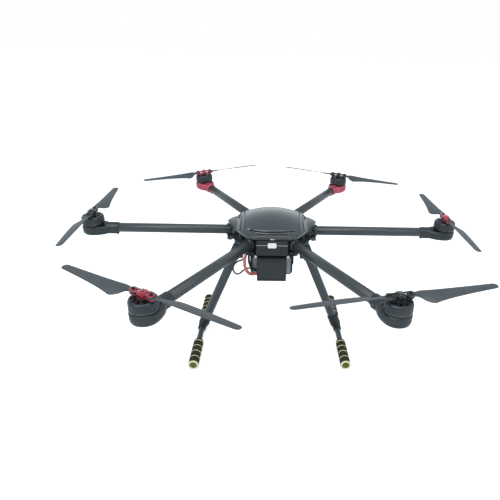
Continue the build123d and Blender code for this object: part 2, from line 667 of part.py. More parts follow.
# ---- write every sub-part --------------------------------------------------------------------
def main():
    os.makedirs("parts", exist_ok=True)
    save("bottom_plate", bottom_plate())
    save("top_plate", top_plate())
    save("canopy", canopy())
    save("frame_posts", frame_posts())
    save("arm_hinge_brackets", arm_hinge_brackets())
    save("flight_controller", flight_controller())
    save("satellite_receiver", satellite_receiver())
    save("power_board", power_board())
    save("speed_controllers", speed_controllers())
    save("front_bay", front_bay())
    save("status_lens", status_lens())
    save("payload_rails", payload_rails())
    save("battery_tray", battery_tray())
    save("battery", battery())
    save("battery_straps", battery_straps())
    save("equipment_box", equipment_box())
    save("retract_units", both_sides(retract_unit()))
    save("red_power_lead", cord(RED_ROUTE, RED_D))
    save("black_power_lead", cord(BLACK_ROUTE, BLACK_D))
    save("signal_cable", cord(SIGNAL_ROUTE, SIGNAL_D))
    for side, turn in SIDES.items():
        front = 1 if turn else -1
        save(f"leg_{side}", [at_hub(Rot(0, 0, turn) * shape) for shape in leg(front)])
        save(f"foam_grips_{side}", [at_hub(Rot(0, 0, turn) * shape) for shape in foam_grips(front)])
    arm_shapes, mount_shapes = arm(), motor_mount()
    bell_shapes, clamp_shapes = rotor_bell(), prop_clamp()
    blades = {turn: blade(turn) for turn in (-1, 1)}
    for name, angle in ARM_ANGLES.items():
        x = MOTOR_R * math.cos(math.radians(angle))
        y = MOTOR_R * math.sin(math.radians(angle))
        hub_line = Pos(x, y, ARM_Z) * Rot(0, 0, PROP_ANGLES[name])
        save(f"arm_{name}", [on_arm(shape, angle) for shape in arm_shapes])
        save(f"motor_mount_{name}", [on_arm(shape, angle) for shape in mount_shapes])
        save(f"rotor_bell_{name}", [hub_line * shape for shape in bell_shapes])
        save(f"prop_clamp_{name}", [hub_line * shape for shape in clamp_shapes])
        one_blade = blades[PROP_TURNS[name]]
        save(f"blade_a_{name}", [hub_line * one_blade])
        save(f"blade_b_{name}", [hub_line * Rot(0, 0, 180) * one_blade])


main()
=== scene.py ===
import json
import math

import bmesh
import bpy
from mathutils import Matrix, Vector


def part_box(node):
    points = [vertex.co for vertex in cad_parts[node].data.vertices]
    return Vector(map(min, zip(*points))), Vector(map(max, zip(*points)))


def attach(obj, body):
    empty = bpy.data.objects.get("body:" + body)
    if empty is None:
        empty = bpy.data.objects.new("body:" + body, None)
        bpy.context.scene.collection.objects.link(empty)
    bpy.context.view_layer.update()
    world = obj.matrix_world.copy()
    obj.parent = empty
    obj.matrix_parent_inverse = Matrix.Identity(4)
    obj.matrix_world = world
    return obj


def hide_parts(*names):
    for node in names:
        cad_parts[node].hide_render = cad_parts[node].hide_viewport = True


# Folding hexacopter. Helper functions take millimetres in a piece's own frame; every Blender
# object is placed in metres in the model's frame: +Z up, +X to the right, +Y to the rear.
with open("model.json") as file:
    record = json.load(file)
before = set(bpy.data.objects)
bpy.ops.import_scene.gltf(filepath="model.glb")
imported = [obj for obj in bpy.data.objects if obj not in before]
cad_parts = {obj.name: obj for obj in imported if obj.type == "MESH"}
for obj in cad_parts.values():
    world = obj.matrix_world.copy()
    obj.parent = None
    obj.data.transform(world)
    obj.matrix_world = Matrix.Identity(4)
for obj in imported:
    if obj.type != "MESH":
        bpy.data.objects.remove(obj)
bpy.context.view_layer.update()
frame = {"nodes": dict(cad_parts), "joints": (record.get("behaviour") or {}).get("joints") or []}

MM = 0.001
JOINTS = {joint["name"]: joint for joint in frame["joints"]}
ARMS = ("right", "rear_right", "rear_left", "left", "front_left", "front_right")
SIDES = ("right", "left")
RED_MOUNTS = ("rear_left", "rear_right")
RED_CLAMPS = ("front_left", "right", "rear_left")

# ---- places, read from the frame ----------------------------------------------------------------
PIVOT_DROP = 22.0        # arm hinge below the arm axis
HINGE_X = 114.0           # hinge pin, out from the hub's middle
ARM_Z = JOINTS["arm_fold_right"]["pos_m"][2] / MM + PIVOT_DROP
PROP_LIFT = JOINTS["blade_fold_a_right"]["pos_m"][2] / MM - ARM_Z


def joint_place(name):
    return Vector(JOINTS[name]["pos_m"]) / MM


def turn_of(vector):
    return math.atan2(vector.y, vector.x)


MOTOR_AT = {name: joint_place(f"rotor_spin_{name}") for name in ARMS}
ARM_TURN = {name: turn_of(MOTOR_AT[name]) for name in ARMS}
PROP_TURN = {name: turn_of(joint_place(f"blade_fold_a_{name}") - MOTOR_AT[name]) for name in ARMS}
SPIN = {name: 1 if index % 2 else -1 for index, name in enumerate(ARMS)}
MOTOR_R = MOTOR_AT["right"].x
LEG_PIVOT = joint_place("leg_retract_right") - Vector((0, 0, ARM_Z))
foam_low, foam_high = (Vector(corner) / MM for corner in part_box("foam_grips_right"))
SKID_AT = Vector(((foam_low.x + foam_high.x) / 2, 0, (foam_low.z + foam_high.z) / 2 - ARM_Z))
SKID_FRONT, SKID_REAR = -foam_low.y, foam_high.y
LEG_LEAN = math.atan2(SKID_AT.x - LEG_PIVOT.x, LEG_PIVOT.z - SKID_AT.z)
LEG_LENGTH = (SKID_AT.xz - LEG_PIVOT.xz).length


def at(x=0.0, y=0.0, z=0.0, turn=0.0):
    """A place in millimetres from the hub's middle at arm height, as a matrix in metres."""
    return Matrix.Translation(Vector((x, y, z + ARM_Z)) * MM) @ Matrix.Rotation(turn, 4, "Z")


HUB = at()
ON_ARM = {name: at(turn=ARM_TURN[name]) for name in ARMS}
ON_MOTOR = {name: at(MOTOR_AT[name].x, MOTOR_AT[name].y, 0, PROP_TURN[name]) for name in ARMS}
ON_SIDE = {"right": at(), "left": at(turn=math.pi)}
ALONG_LEG = {
    side: ON_SIDE[side] @ Matrix.Translation(LEG_PIVOT * MM)
    @ Matrix.Rotation(math.pi / 2 - LEG_LEAN, 4, "Y")
    for side in SIDES
}


# ---- camera, light and floor ----------------------------------------------------------------------
def build_camera():
    """A camera 1.2 m away that looks down at the front, a little from the left."""
    distance, tilt, swing, lean = 1236.3, 0.4291, 0.0533, -0.0368
    across, drop = 47.9, -42.2
    focus, middle_x, middle_y, side = 441.92, 288.8, 244.2, 500
    forward = Vector((math.cos(tilt) * math.sin(swing), math.cos(tilt) * math.cos(swing), -math.sin(tilt)))
    right = Vector((math.cos(swing), -math.sin(swing), 0))
    up = right.cross(forward)
    aim = across * right + Vector((0, 0, ARM_Z + drop))
    place = aim - distance * forward
    right, up = (
        math.cos(lean) * right - math.sin(lean) * up,
        math.sin(lean) * right + math.cos(lean) * up,
    )
    data = bpy.data.cameras.new("camera")
    data.sensor_width = 36
    data.lens = data.sensor_width * focus / side
    data.shift_x = (side / 2 - middle_x) / side
    data.shift_y = (middle_y - side / 2) / side
    data.clip_start = 0.05
    camera = bpy.data.objects.new("camera", data)
    facing = Matrix((right, up, -forward)).transposed().to_4x4()
    camera.matrix_world = Matrix.Translation(place * MM) @ facing
    bpy.context.scene.collection.objects.link(camera)
    bpy.context.scene.camera = camera


HORIZON = (0.85, 0.90, 0.93)
ZENITH = (0.50, 0.57, 0.61)


def build_sky():
    """White behind the craft; what it reflects is bright low down and a soft grey overhead."""
    world = bpy.data.worlds.new("studio")
    world.use_nodes = True
    nodes, links = world.node_tree.nodes, world.node_tree.links
    sky = nodes["Background"]
    path = nodes.new("ShaderNodeLightPath")
    place = nodes.new("ShaderNodeTexCoord")
    parts = nodes.new("ShaderNodeSeparateXYZ")
    rise = nodes.new("ShaderNodeMapRange")
    shade = nodes.new("ShaderNodeMix")
    pick = nodes.new("ShaderNodeMix")
    for mix in (shade, pick):
        mix.data_type = "RGBA"
    links.new(place.outputs["Generated"], parts.inputs[0])
    links.new(parts.outputs[2], rise.inputs["Value"])
    rise.inputs["From Min"].default_value = 0.0
    rise.inputs["From Max"].default_value = 0.6
    links.new(rise.outputs[0], shade.inputs[0])
    shade.inputs[6].default_value = (*HORIZON, 1)
    shade.inputs[7].default_value = (*ZENITH, 1)
    links.new(path.outputs["Is Camera Ray"], pick.inputs[0])
    links.new(shade.outputs[2], pick.inputs[6])
    pick.inputs[7].default_value = (1, 1, 1, 1)
    links.new(pick.outputs[2], sky.inputs["Color"])
    bpy.context.scene.world = world


def build_studio():
    """A pale floor under a soft sky with three large lamps."""
    build_sky()
    lamps = (
        ("key_lamp", (-1.5, -1.9, 2.8), 2.4, 40),
        ("fill_lamp", (2.4, -1.4, 2.0), 2.2, 13),
        ("top_lamp", (0.3, -0.9, 3.3), 2.6, 34),
    )
    for name, place, size, power in lamps:
        data = bpy.data.lights.new(name, "AREA")
        data.size = size
        data.energy = power
        lamp = bpy.data.objects.new(name, data)
        lamp.location = place
        lamp.rotation_euler = (Vector((0, 0, 0.3)) - Vector(place)).to_track_quat("-Z", "Y").to_euler()
        bpy.context.scene.collection.objects.link(lamp)
    bpy.ops.mesh.primitive_plane_add(size=60, location=(0, 0, 0))
    floor = bpy.context.object
    floor.name = "floor"
    floor.data.materials.append(FLOOR)
    view = bpy.context.scene.view_settings
    view.view_transform = "Standard"
    view.look = "None"


# ---- shader groups --------------------------------------------------------------------------------
class Wiring:
    """Adds nodes to a tree and joins them. An input may be a number, a colour or another output."""

    def __init__(self, tree):
        self.tree = tree

    def node(self, kind, settings=None, **inputs):
        made = self.tree.nodes.new(kind)
        for key, value in (settings or {}).items():
            setattr(made, key, value)
        for key, value in inputs.items():
            self.feed(made.inputs[key.replace("_", " ")], value)
        return made

    def feed(self, socket, value):
        if isinstance(value, bpy.types.NodeSocket):
            self.tree.links.new(value, socket)
        else:
            socket.default_value = value

    def sum(self, operation, first, second=None, third=None):
        made = self.node("ShaderNodeMath", {"operation": operation})
        for socket, value in zip(made.inputs, (first, second, third)):
            if value is not None:
                self.feed(socket, value)
        return made.outputs[0]

    def mix(self, share, first, second):
        made = self.node("ShaderNodeMix", {"data_type": "RGBA"})
        self.feed(made.inputs["Factor"], share)
        self.feed(made.inputs[6], first)
        self.feed(made.inputs[7], second)
        return made.outputs[2]

    def spread(self, value, low, high, start=0.0, end=1.0):
        made = self.node("ShaderNodeMapRange", Value=value)
        for key, number in zip(("From Min", "From Max", "To Min", "To Max"), (start, end, low, high)):
            self.feed(made.inputs[key], number)
        return made.outputs[0]

    def stretch(self, vector, scale):
        return self.node("ShaderNodeMapping", Vector=vector, Scale=scale).outputs[0]

    def noise(self, vector, scale, detail=3.0):
        return self.node("ShaderNodeTexNoise", Vector=vector, Scale=scale, Detail=detail).outputs["Fac"]

    def parts(self, vector):
        return self.node("ShaderNodeSeparateXYZ", Vector=vector).outputs

    def own_place(self):
        return self.node("ShaderNodeTexCoord").outputs["Object"]


def shader_group(name, inputs, outputs):
    """An empty group with (label, socket type, value) inputs and (label, socket type) outputs."""
    group = bpy.data.node_groups.new(name, "ShaderNodeTree")
    for label, kind, value in inputs:
        socket = group.interface.new_socket(label, in_out="INPUT", socket_type=kind)
        socket.default_value = value
    for label, kind in outputs:
        group.interface.new_socket(label, in_out="OUTPUT", socket_type=kind)
    wiring = Wiring(group)
    source = group.nodes.new("NodeGroupInput").outputs
    sink = group.nodes.new("NodeGroupOutput").inputs
    return group, wiring, source, sink


NUMBER, VECTOR = "NodeSocketFloat", "NodeSocketVector"


def build_twill_group():
    """Two-by-two twill: which tow is on top, how high it stands, and its fibres."""
    group, wiring, source, sink = shader_group(
        "twill_weave",
        [("Across", NUMBER, 0.0), ("Along", NUMBER, 0.0), ("Tow", NUMBER, 0.002)],
        [("Warp", NUMBER), ("Height", NUMBER), ("Fibre", NUMBER)],
    )
    across = wiring.sum("DIVIDE", source["Across"], source["Tow"])
    along = wiring.sum("DIVIDE", source["Along"], source["Tow"])
    step = wiring.sum("ADD", wiring.sum("FLOOR", across), wiring.sum("FLOOR", along))
    warp = wiring.sum("LESS_THAN", wiring.sum("FLOORED_MODULO", step, 4.0), 1.5)
    crowns, fibres = [], []
    for own, other in ((along, across), (across, along)):
        crowns.append(wiring.sum("SINE", wiring.sum("MULTIPLY", wiring.sum("FRACT", own), math.pi)))
        line = wiring.node("ShaderNodeCombineXYZ", X=wiring.sum("MULTIPLY", own, 9.0),
                           Y=wiring.sum("MULTIPLY", other, 0.6)).outputs[0]
        fibres.append(wiring.noise(line, 1.0, 2.0))
    for label, pair in (("Height", crowns), ("Fibre", fibres)):
        made = wiring.node("ShaderNodeMix", {"data_type": "FLOAT"})
        wiring.feed(made.inputs["Factor"], warp)
        wiring.feed(made.inputs[2], pair[0])
        wiring.feed(made.inputs[3], pair[1])
        wiring.feed(sink[label], made.outputs[0])
    wiring.feed(sink["Warp"], warp)
    return group


def build_grain_group():
    """Fine moulded or blasted texture over slow cloudy variation."""
    group, wiring, source, sink = shader_group(
        "fine_grain",
        [("Vector", VECTOR, (0, 0, 0)), ("Grain", NUMBER, 2500.0), ("Cloud", NUMBER, 25.0)],
        [("Grain", NUMBER), ("Cloud", NUMBER)],
    )
    wiring.feed(sink["Grain"], wiring.noise(source["Vector"], source["Grain"], 2.0))
    cloud = wiring.noise(source["Vector"], source["Cloud"], 4.0)
    wiring.feed(sink["Cloud"], wiring.spread(cloud, 0.0, 1.0, 0.3, 0.7))
    return group


def build_wear_group():
    """Where outside edges are rubbed: convex places, broken up by noise."""
    group, wiring, source, sink = shader_group(
        "edge_wear",
        [("Vector", VECTOR, (0, 0, 0)), ("Amount", NUMBER, 0.5)],
        [("Mask", NUMBER)],
    )
    sharp = wiring.node("ShaderNodeNewGeometry").outputs["Pointiness"]
    edge = wiring.spread(sharp, 0.0, 1.0, 0.53, 0.6)
    broken = wiring.spread(wiring.noise(source["Vector"], 160.0, 5.0), 0.0, 1.0, 0.42, 0.62)
    worn = wiring.sum("MULTIPLY", wiring.sum("MULTIPLY", edge, broken), source["Amount"])
    wiring.feed(sink["Mask"], worn)
    return group


def build_turning_group():
    """Fine rings left by a lathe, round the piece's own Z axis."""
    group, wiring, source, sink = shader_group(
        "turning_lines", [("Vector", VECTOR, (0, 0, 0)), ("Pitch", NUMBER, 0.0004)], [("Line", NUMBER)],
    )
    x, y, z = wiring.parts(source["Vector"])
    squares = wiring.sum("ADD", wiring.sum("MULTIPLY", x, x), wiring.sum("MULTIPLY", y, y))
    radius = wiring.sum("SQRT", squares)
    line = wiring.node("ShaderNodeCombineXYZ", X=wiring.sum("DIVIDE", radius, source["Pitch"]),
                       Z=wiring.sum("DIVIDE", z, source["Pitch"])).outputs[0]
    wiring.feed(sink["Line"], wiring.noise(line, 1.0, 2.0))
    return group


TWILL = build_twill_group()
GRAIN = build_grain_group()
WEAR = build_wear_group()
TURNING = build_turning_group()


# ---- materials ------------------------------------------------------------------------------------
def start_material(name, **constants):
    material = bpy.data.materials.new(name)
    material.use_nodes = True
    wiring = Wiring(material.node_tree)
    shader = material.node_tree.nodes["Principled BSDF"]
    for key, value in constants.items():
        shader.inputs[key.replace("_", " ")].default_value = value
    return material, wiring, shader.inputs


def use_group(wiring, group, **inputs):
    made = wiring.node("ShaderNodeGroup", {"node_tree": group})
    for key, value in inputs.items():
        wiring.feed(made.inputs[key], value)
    return made.outputs


def relief(wiring, sockets, height, strength, distance, socket="Normal"):
    bump_node = wiring.node("ShaderNodeBump", Height=height, Strength=strength, Distance=distance)
    wiring.feed(sockets[socket], bump_node.outputs[0])


def solid_finish(name, colour, other, rough, grain=2500.0, depth=0.00004, worn=None, wear=0.5, cloud=25.0,
                 **constants):
    """Moulded, blasted or anodised: two close shades, uneven gloss, fine grain and rubbed edges."""
    material, wiring, sockets = start_material(name, **constants)
    place = wiring.own_place()
    grains = use_group(wiring, GRAIN, Vector=place, Grain=grain, Cloud=cloud)
    shade = wiring.mix(grains["Cloud"], (*colour, 1), (*other, 1))
    if worn:
        mask = use_group(wiring, WEAR, Vector=place, Amount=wear)["Mask"]
        shade = wiring.mix(mask, shade, (*worn, 1))
    wiring.feed(sockets["Base Color"], shade)
    uneven = wiring.sum("ADD", wiring.sum("MULTIPLY", grains["Grain"], 0.35),
                        wiring.sum("MULTIPLY", grains["Cloud"], 0.65))
    wiring.feed(sockets["Roughness"], wiring.spread(uneven, *rough))
    relief(wiring, sockets, grains["Grain"], 0.5, depth)
    return material


def carbon_finish(name, tube=0.0, tow=0.002, rough=(0.26, 0.42), lacquer=0.35):
    """Woven carbon under a thin lacquer, wrapped round a tube of that radius or laid flat."""
    material, wiring, sockets = start_material(name, Coat_Roughness=0.16, Coat_IOR=1.45)
    place = wiring.own_place()
    x, y, z = wiring.parts(place)
    if tube:
        turn = wiring.sum("ARCTAN2", z, y)
        across, along = wiring.sum("MULTIPLY", turn, tube), x
    else:
        across, along = x, y
    weave = use_group(wiring, TWILL, Across=across, Along=along, Tow=tow)
    grains = use_group(wiring, GRAIN, Vector=place, Grain=1800.0, Cloud=18.0)
    tows = wiring.mix(weave["Warp"], (0.020, 0.026, 0.030, 1), (0.037, 0.045, 0.050, 1))
    shade = wiring.mix(wiring.sum("MULTIPLY", weave["Fibre"], 0.5), tows, (0.052, 0.062, 0.069, 1))
    wiring.feed(sockets["Base Color"], wiring.mix(wiring.sum("MULTIPLY", grains["Cloud"], 0.25), shade,
                                                  (0.044, 0.051, 0.056, 1)))
    wiring.feed(sockets["Roughness"], wiring.spread(weave["Fibre"], *rough))
    sockets["Coat Weight"].default_value = lacquer
    relief(wiring, sockets, weave["Height"], 0.35, 0.00012)
    return material


def turned_finish(name, colour, other, rough, **constants):
    """Anodised metal off a lathe."""
    material, wiring, sockets = start_material(name, **constants)
    place = wiring.own_place()
    line = use_group(wiring, TURNING, Vector=place)["Line"]
    grains = use_group(wiring, GRAIN, Vector=place, Grain=3000.0, Cloud=40.0)
    mask = use_group(wiring, WEAR, Vector=place, Amount=0.45)["Mask"]
    shade = wiring.mix(grains["Cloud"], (*colour, 1), (*other, 1))
    wiring.feed(sockets["Base Color"], wiring.mix(mask, shade, (0.32, 0.32, 0.33, 1)))
    wiring.feed(sockets["Roughness"], wiring.spread(line, *rough))
    relief(wiring, sockets, line, 0.25, 0.00006)
    return material


def foam_finish():
    """Closed-cell foam: matt, pitted, a little olive where light skims it."""
    material, wiring, sockets = start_material("foam_black", Specular_IOR_Level=0.3)
    place = wiring.own_place()
    cells = wiring.node("ShaderNodeTexVoronoi", Vector=place, Scale=1500.0).outputs["Distance"]
    grains = use_group(wiring, GRAIN, Vector=place, Grain=900.0, Cloud=60.0)
    wiring.feed(sockets["Base Color"], wiring.mix(grains["Cloud"], (0.013, 0.015, 0.006, 1),
                                                  (0.034, 0.038, 0.011, 1)))
    wiring.feed(sockets["Roughness"], wiring.spread(cells, 0.95, 0.72))
    relief(wiring, sockets, cells, 0.8, 0.0003)
    return material


def webbing_finish():
    """Woven strap: ribs across, a twill inside each rib."""
    material, wiring, sockets = start_material("strap_webbing", Sheen_Weight=0.3, Sheen_Roughness=0.5)
    place = wiring.own_place()
    x, y, z = wiring.parts(place)
    along = wiring.sum("ADD", x, z)
    weave = use_group(wiring, TWILL, Across=y, Along=along, Tow=0.0009)
    tone = wiring.mix(weave["Warp"], (0.016, 0.016, 0.017, 1), (0.034, 0.034, 0.036, 1))
    wiring.feed(sockets["Base Color"], wiring.mix(wiring.sum("MULTIPLY", weave["Fibre"], 0.4), tone,
                                                  (0.06, 0.06, 0.062, 1)))
    wiring.feed(sockets["Roughness"], wiring.spread(weave["Fibre"], 0.8, 0.95))
    relief(wiring, sockets, weave["Height"], 0.9, 0.0004)
    return material


def circuit_finish():
    """Green solder mask with faint tracks."""
    material, wiring, sockets = start_material("circuit_board", Coat_Weight=0.3, Coat_Roughness=0.2)
    place = wiring.own_place()
    tracks = wiring.node("ShaderNodeTexBrick", Vector=wiring.stretch(place, (1, 1, 1)), Scale=90.0,
                         Mortar_Size=0.06).outputs["Fac"]
    grains = use_group(wiring, GRAIN, Vector=place, Grain=1500.0, Cloud=80.0)
    base = wiring.mix(grains["Cloud"], (0.006, 0.05, 0.02, 1), (0.01, 0.075, 0.03, 1))
    wiring.feed(sockets["Base Color"], wiring.mix(tracks, base, (0.02, 0.12, 0.05, 1)))
    wiring.feed(sockets["Roughness"], wiring.spread(grains["Grain"], 0.35, 0.5))
    relief(wiring, sockets, tracks, 0.4, 0.0001)
    return material


def floor_finish():
    """Pale paper, lit from within just enough to stay white where it is seen directly."""
    material, wiring, sockets = start_material("floor_paper", Roughness=0.95, Specular_IOR_Level=0.1)
    haze = wiring.noise(wiring.own_place(), 0.6, 2.0)
    wiring.feed(sockets["Base Color"], wiring.mix(haze, (0.74, 0.77, 0.79, 1), (0.78, 0.80, 0.82, 1)))
    sockets["Emission Color"].default_value = (1, 1, 1, 1)
    seen = wiring.node("ShaderNodeLightPath").outputs["Is Camera Ray"]
    wiring.feed(sockets["Emission Strength"], wiring.sum("MULTIPLY", seen, 0.62))
    return material


FLOOR = floor_finish()
CARBON_TUBE = carbon_finish("carbon_tube", tube=0.0125)
SKID_CARBON = carbon_finish("carbon_skid", tube=0.008, tow=0.0016)
RAIL_CARBON = carbon_finish("carbon_rail", tube=0.004, tow=0.0012, rough=(0.3, 0.45))
CARBON_PLATE = carbon_finish("carbon_plate", tow=0.0022, lacquer=0.2)
CANOPY = solid_finish("canopy_gloss", (0.027, 0.035, 0.040), (0.032, 0.041, 0.046), (0.14, 0.22), 700.0,
                      0.00001, (0.035, 0.042, 0.046), 0.2, 12.0, Coat_Weight=0.9, Coat_Roughness=0.04)
# Near-black painted shade: used for groove floors, vent marks and socket mouths, where the dark stands in
# for the shade inside an opening.
VENT_SHADE = solid_finish("vent_painted_shade", (0.003, 0.004, 0.005), (0.006, 0.007, 0.008), (0.6, 0.8),
                    Specular_IOR_Level=0.25)
SHELL_SATIN = solid_finish("shell_satin", (0.011, 0.016, 0.018), (0.017, 0.022, 0.024), (0.34, 0.48),
                           1600.0, 0.00003, (0.08, 0.09, 0.095), 0.3)
BAY_CASE = solid_finish("bay_case", (0.008, 0.012, 0.014), (0.013, 0.017, 0.019), (0.42, 0.56), 2200.0,
                        0.00004, (0.07, 0.08, 0.085), 0.35)
BOX_CASE = solid_finish("box_case", (0.009, 0.014, 0.016), (0.014, 0.019, 0.021), (0.44, 0.58), 2000.0,
                        0.00005, (0.07, 0.08, 0.085), 0.35)
BLACK_METAL = solid_finish("anodised_black", (0.024, 0.030, 0.034), (0.034, 0.041, 0.046), (0.28, 0.4),
                           3200.0, 0.00002, (0.40, 0.41, 0.42), 0.5, Metallic=0.75)
BLACK_MOUNT = solid_finish("mount_black", (0.022, 0.030, 0.035), (0.031, 0.040, 0.046), (0.3, 0.42),
                           2600.0, 0.00003, (0.2, 0.21, 0.22), 0.45, Metallic=0.35, Coat_Weight=0.25,
                           Coat_Roughness=0.22)
RED_MOUNT = solid_finish("mount_red", (0.50, 0.075, 0.125), (0.60, 0.105, 0.16), (0.3, 0.42), 2600.0,
                         0.00003, (0.8, 0.45, 0.48), 0.4, Metallic=0.45)
RED_CLAMP = solid_finish("clamp_red", (0.46, 0.025, 0.06), (0.58, 0.045, 0.085), (0.16, 0.28), 2600.0,
                         0.00002, (0.9, 0.6, 0.62), 0.5, Metallic=0.85, Coat_Weight=1.0,
                         Coat_Roughness=0.05)
BLACK_CLAMP = solid_finish("clamp_black", (0.018, 0.023, 0.026), (0.027, 0.032, 0.036), (0.2, 0.32),
                           2600.0, 0.00002, (0.4, 0.41, 0.42), 0.5, Metallic=0.7, Coat_Weight=0.5,
                           Coat_Roughness=0.08)
BELL = turned_finish("bell_black", (0.032, 0.040, 0.046), (0.048, 0.058, 0.065), (0.2, 0.38), Metallic=0.75,
                     Coat_Weight=0.3, Coat_Roughness=0.12)
STEEL = turned_finish("bright_steel", (0.55, 0.56, 0.58), (0.62, 0.63, 0.65), (0.2, 0.4), Metallic=1.0)
SCREW = solid_finish("black_screw", (0.016, 0.018, 0.02), (0.026, 0.029, 0.031), (0.3, 0.45), 3000.0,
                     0.00002, (0.35, 0.35, 0.36), 0.6, Metallic=0.8)
SILVER_SCREW = solid_finish("silver_screw", (0.5, 0.51, 0.53), (0.6, 0.61, 0.63), (0.22, 0.36), 3000.0,
                            0.00002, (0.8, 0.8, 0.8), 0.5, Metallic=1.0)
BLADE = solid_finish("blade_nylon", (0.052, 0.062, 0.069), (0.066, 0.077, 0.085), (0.34, 0.48), 1400.0,
                     0.00004, (0.13, 0.14, 0.15), 0.5, 30.0, Specular_IOR_Level=0.5)
COPPER = solid_finish("copper_wire", (0.22, 0.07, 0.03), (0.16, 0.05, 0.02), (0.25, 0.4), 1200.0, 0.00005,
                      Metallic=0.9)
LAMINATE = solid_finish("stator_laminate", (0.02, 0.02, 0.022), (0.05, 0.05, 0.052), (0.4, 0.5), 1800.0,
                        0.00003, Metallic=0.5)
FOAM = foam_finish()
YELLOW_RUBBER = solid_finish("band_yellow", (0.74, 0.74, 0.42), (0.80, 0.80, 0.50), (0.5, 0.62), 1500.0,
                             0.00004)
OLIVE_RUBBER = solid_finish("cap_olive", (0.09, 0.10, 0.012), (0.13, 0.14, 0.02), (0.55, 0.7), 1500.0,
                            0.00005)
DEVICE = solid_finish("device_case", (0.03, 0.031, 0.034), (0.04, 0.041, 0.044), (0.45, 0.6))
SHRINK = solid_finish("heat_shrink", (0.015, 0.016, 0.019), (0.022, 0.023, 0.026), (0.32, 0.48), 900.0,
                      0.00006)
LENS = solid_finish("white_diffuser", (0.80, 0.81, 0.81), (0.85, 0.86, 0.86), (0.25, 0.35), 1200.0, 0.00001,
                    Coat_Weight=0.3)
SEAM = solid_finish("seam_silver", (0.55, 0.57, 0.58), (0.62, 0.64, 0.65), (0.25, 0.35), 2600.0, 0.00002,
                    Metallic=0.8)
# light grey for the battery's end boards: partly their own colour, partly painted light for a lit end face
PACK_END_PAINTED_LIGHT = solid_finish("battery_end_painted_light", (0.30, 0.32, 0.33), (0.36, 0.38, 0.39), (0.35, 0.5), 500.0, 0.0001)
PACK_BLACK = solid_finish("battery_wrap", (0.020, 0.021, 0.024), (0.03, 0.031, 0.034), (0.28, 0.45), 400.0,
                          0.00012)
LABEL = solid_finish("plain_label", (0.5, 0.52, 0.53), (0.56, 0.58, 0.59), (0.4, 0.5))
RED_SILICONE = solid_finish("silicone_red", (0.58, 0.12, 0.12), (0.68, 0.20, 0.18), (0.42, 0.55), 1500.0,
                            0.00003, Sheen_Weight=0.1)
BLACK_SILICONE = solid_finish("silicone_black", (0.006, 0.007, 0.008), (0.010, 0.011, 0.012), (0.42, 0.55),
                              1500.0, 0.00003)
CONNECTOR = solid_finish("connector_amber", (0.62, 0.36, 0.03), (0.7, 0.42, 0.05), (0.3, 0.42))
WEBBING = webbing_finish()
CIRCUIT = circuit_finish()


# ---- shaping ------------------------------------------------------------------------------------
def finish_mesh(shape, name, material, sharp=35, scale=MM):
    """Turn a bmesh in millimetres into mesh data in metres, smooth but for its sharp edges."""
    bmesh.ops.remove_doubles(shape, verts=shape.verts, dist=0.001)
    bmesh.ops.recalc_face_normals(shape, faces=shape.faces)
    mesh = bpy.data.meshes.new(name)
    shape.to_mesh(mesh)
    shape.free()
    mesh.transform(Matrix.Scale(scale, 4))
    mesh.materials.append(material)
    mesh.shade_smooth()
    mesh.set_sharp_from_angle(angle=math.radians(sharp))
    return mesh


def put(name, mesh, place, body, *nodes, slot=None, round_edge=0.0, steps=2):
    """Place a piece, tie it to its body and say which CAD nodes it stands for."""
    piece = bpy.data.objects.new(name, mesh)
    piece.matrix_world = place
    bpy.context.scene.collection.objects.link(piece)
    if round_edge:
        bevel = piece.modifiers.new("round_edges", "BEVEL")
        bevel.width = round_edge * MM
        bevel.segments = steps
        bevel.limit_method = "ANGLE"
        bevel.angle_limit = math.radians(35)
    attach(piece, body)
    if nodes:
        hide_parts(*nodes)
    return piece


def recoloured(mesh, material):
    """The same shape in another finish."""
    twin = mesh.copy()
    twin.materials[0] = material
    return twin


def turned(shape, profile, sides=48, axis="Z", centre=(0, 0, 0), closed=False):
    """Spin (radius, height) points about an axis, as on a lathe."""
    spin = {"Z": Matrix(), "X": Matrix.Rotation(math.pi / 2, 4, "Y"),
            "Y": Matrix.Rotation(-math.pi / 2, 4, "X")}[axis]
    place = Matrix.Translation(Vector(centre)) @ spin
    rings = []
    for radius, height in profile:
        if radius < 1e-6:
            rings.append([shape.verts.new(place @ Vector((0, 0, height)))])
            continue
        angles = (math.tau * step / sides for step in range(sides))
        rings.append([
            shape.verts.new(place @ Vector((radius * math.cos(a), radius * math.sin(a), height)))
            for a in angles
        ])
    pairs = list(zip(rings, rings[1:]))
    if closed:
        pairs.append((rings[-1], rings[0]))
    for low, high in pairs:
        for step in range(sides):
            after = (step + 1) % sides
            corners = [low[step % len(low)], low[after % len(low)],
                       high[after % len(high)], high[step % len(high)]]
            kept = list(dict.fromkeys(corners))
            if len(kept) > 2:
                shape.faces.new(kept)


def lofted(shape, rings, caps=True):
    """Skin a row of closed rings that have the same number of points."""
    made = [[shape.verts.new(point) for point in ring] for ring in rings]
    count = len(made[0])
    for low, high in zip(made, made[1:]):
        for step in range(count):
            after = (step + 1) % count
            shape.faces.new((low[step], low[after], high[after], high[step]))
    if caps:
        shape.faces.new(list(reversed(made[0])))
        shape.faces.new(made[-1])
    return made


def boxed(shape, x, y, z, place=None):
    """A box from three (low, high) pairs."""
    made = bmesh.ops.create_cube(shape, size=1)["verts"]
    for vertex in made:
        vertex.co = Vector([
            low + (high - low) * (part + 0.5) for part, (low, high) in zip(vertex.co, (x, y, z))
        ])
        if place is not None:
            vertex.co = place @ vertex.co
    return made


def moved(shape, start, place):
    """Move the vertices added since start."""
    shape.verts.ensure_lookup_table()
    for vertex in shape.verts[start:]:
        vertex.co = place @ vertex.co


def circle(x, y, radius, count=32):
    return [(x + radius * math.cos(math.tau * k / count), y + radius * math.sin(math.tau * k / count))
            for k in range(count)]


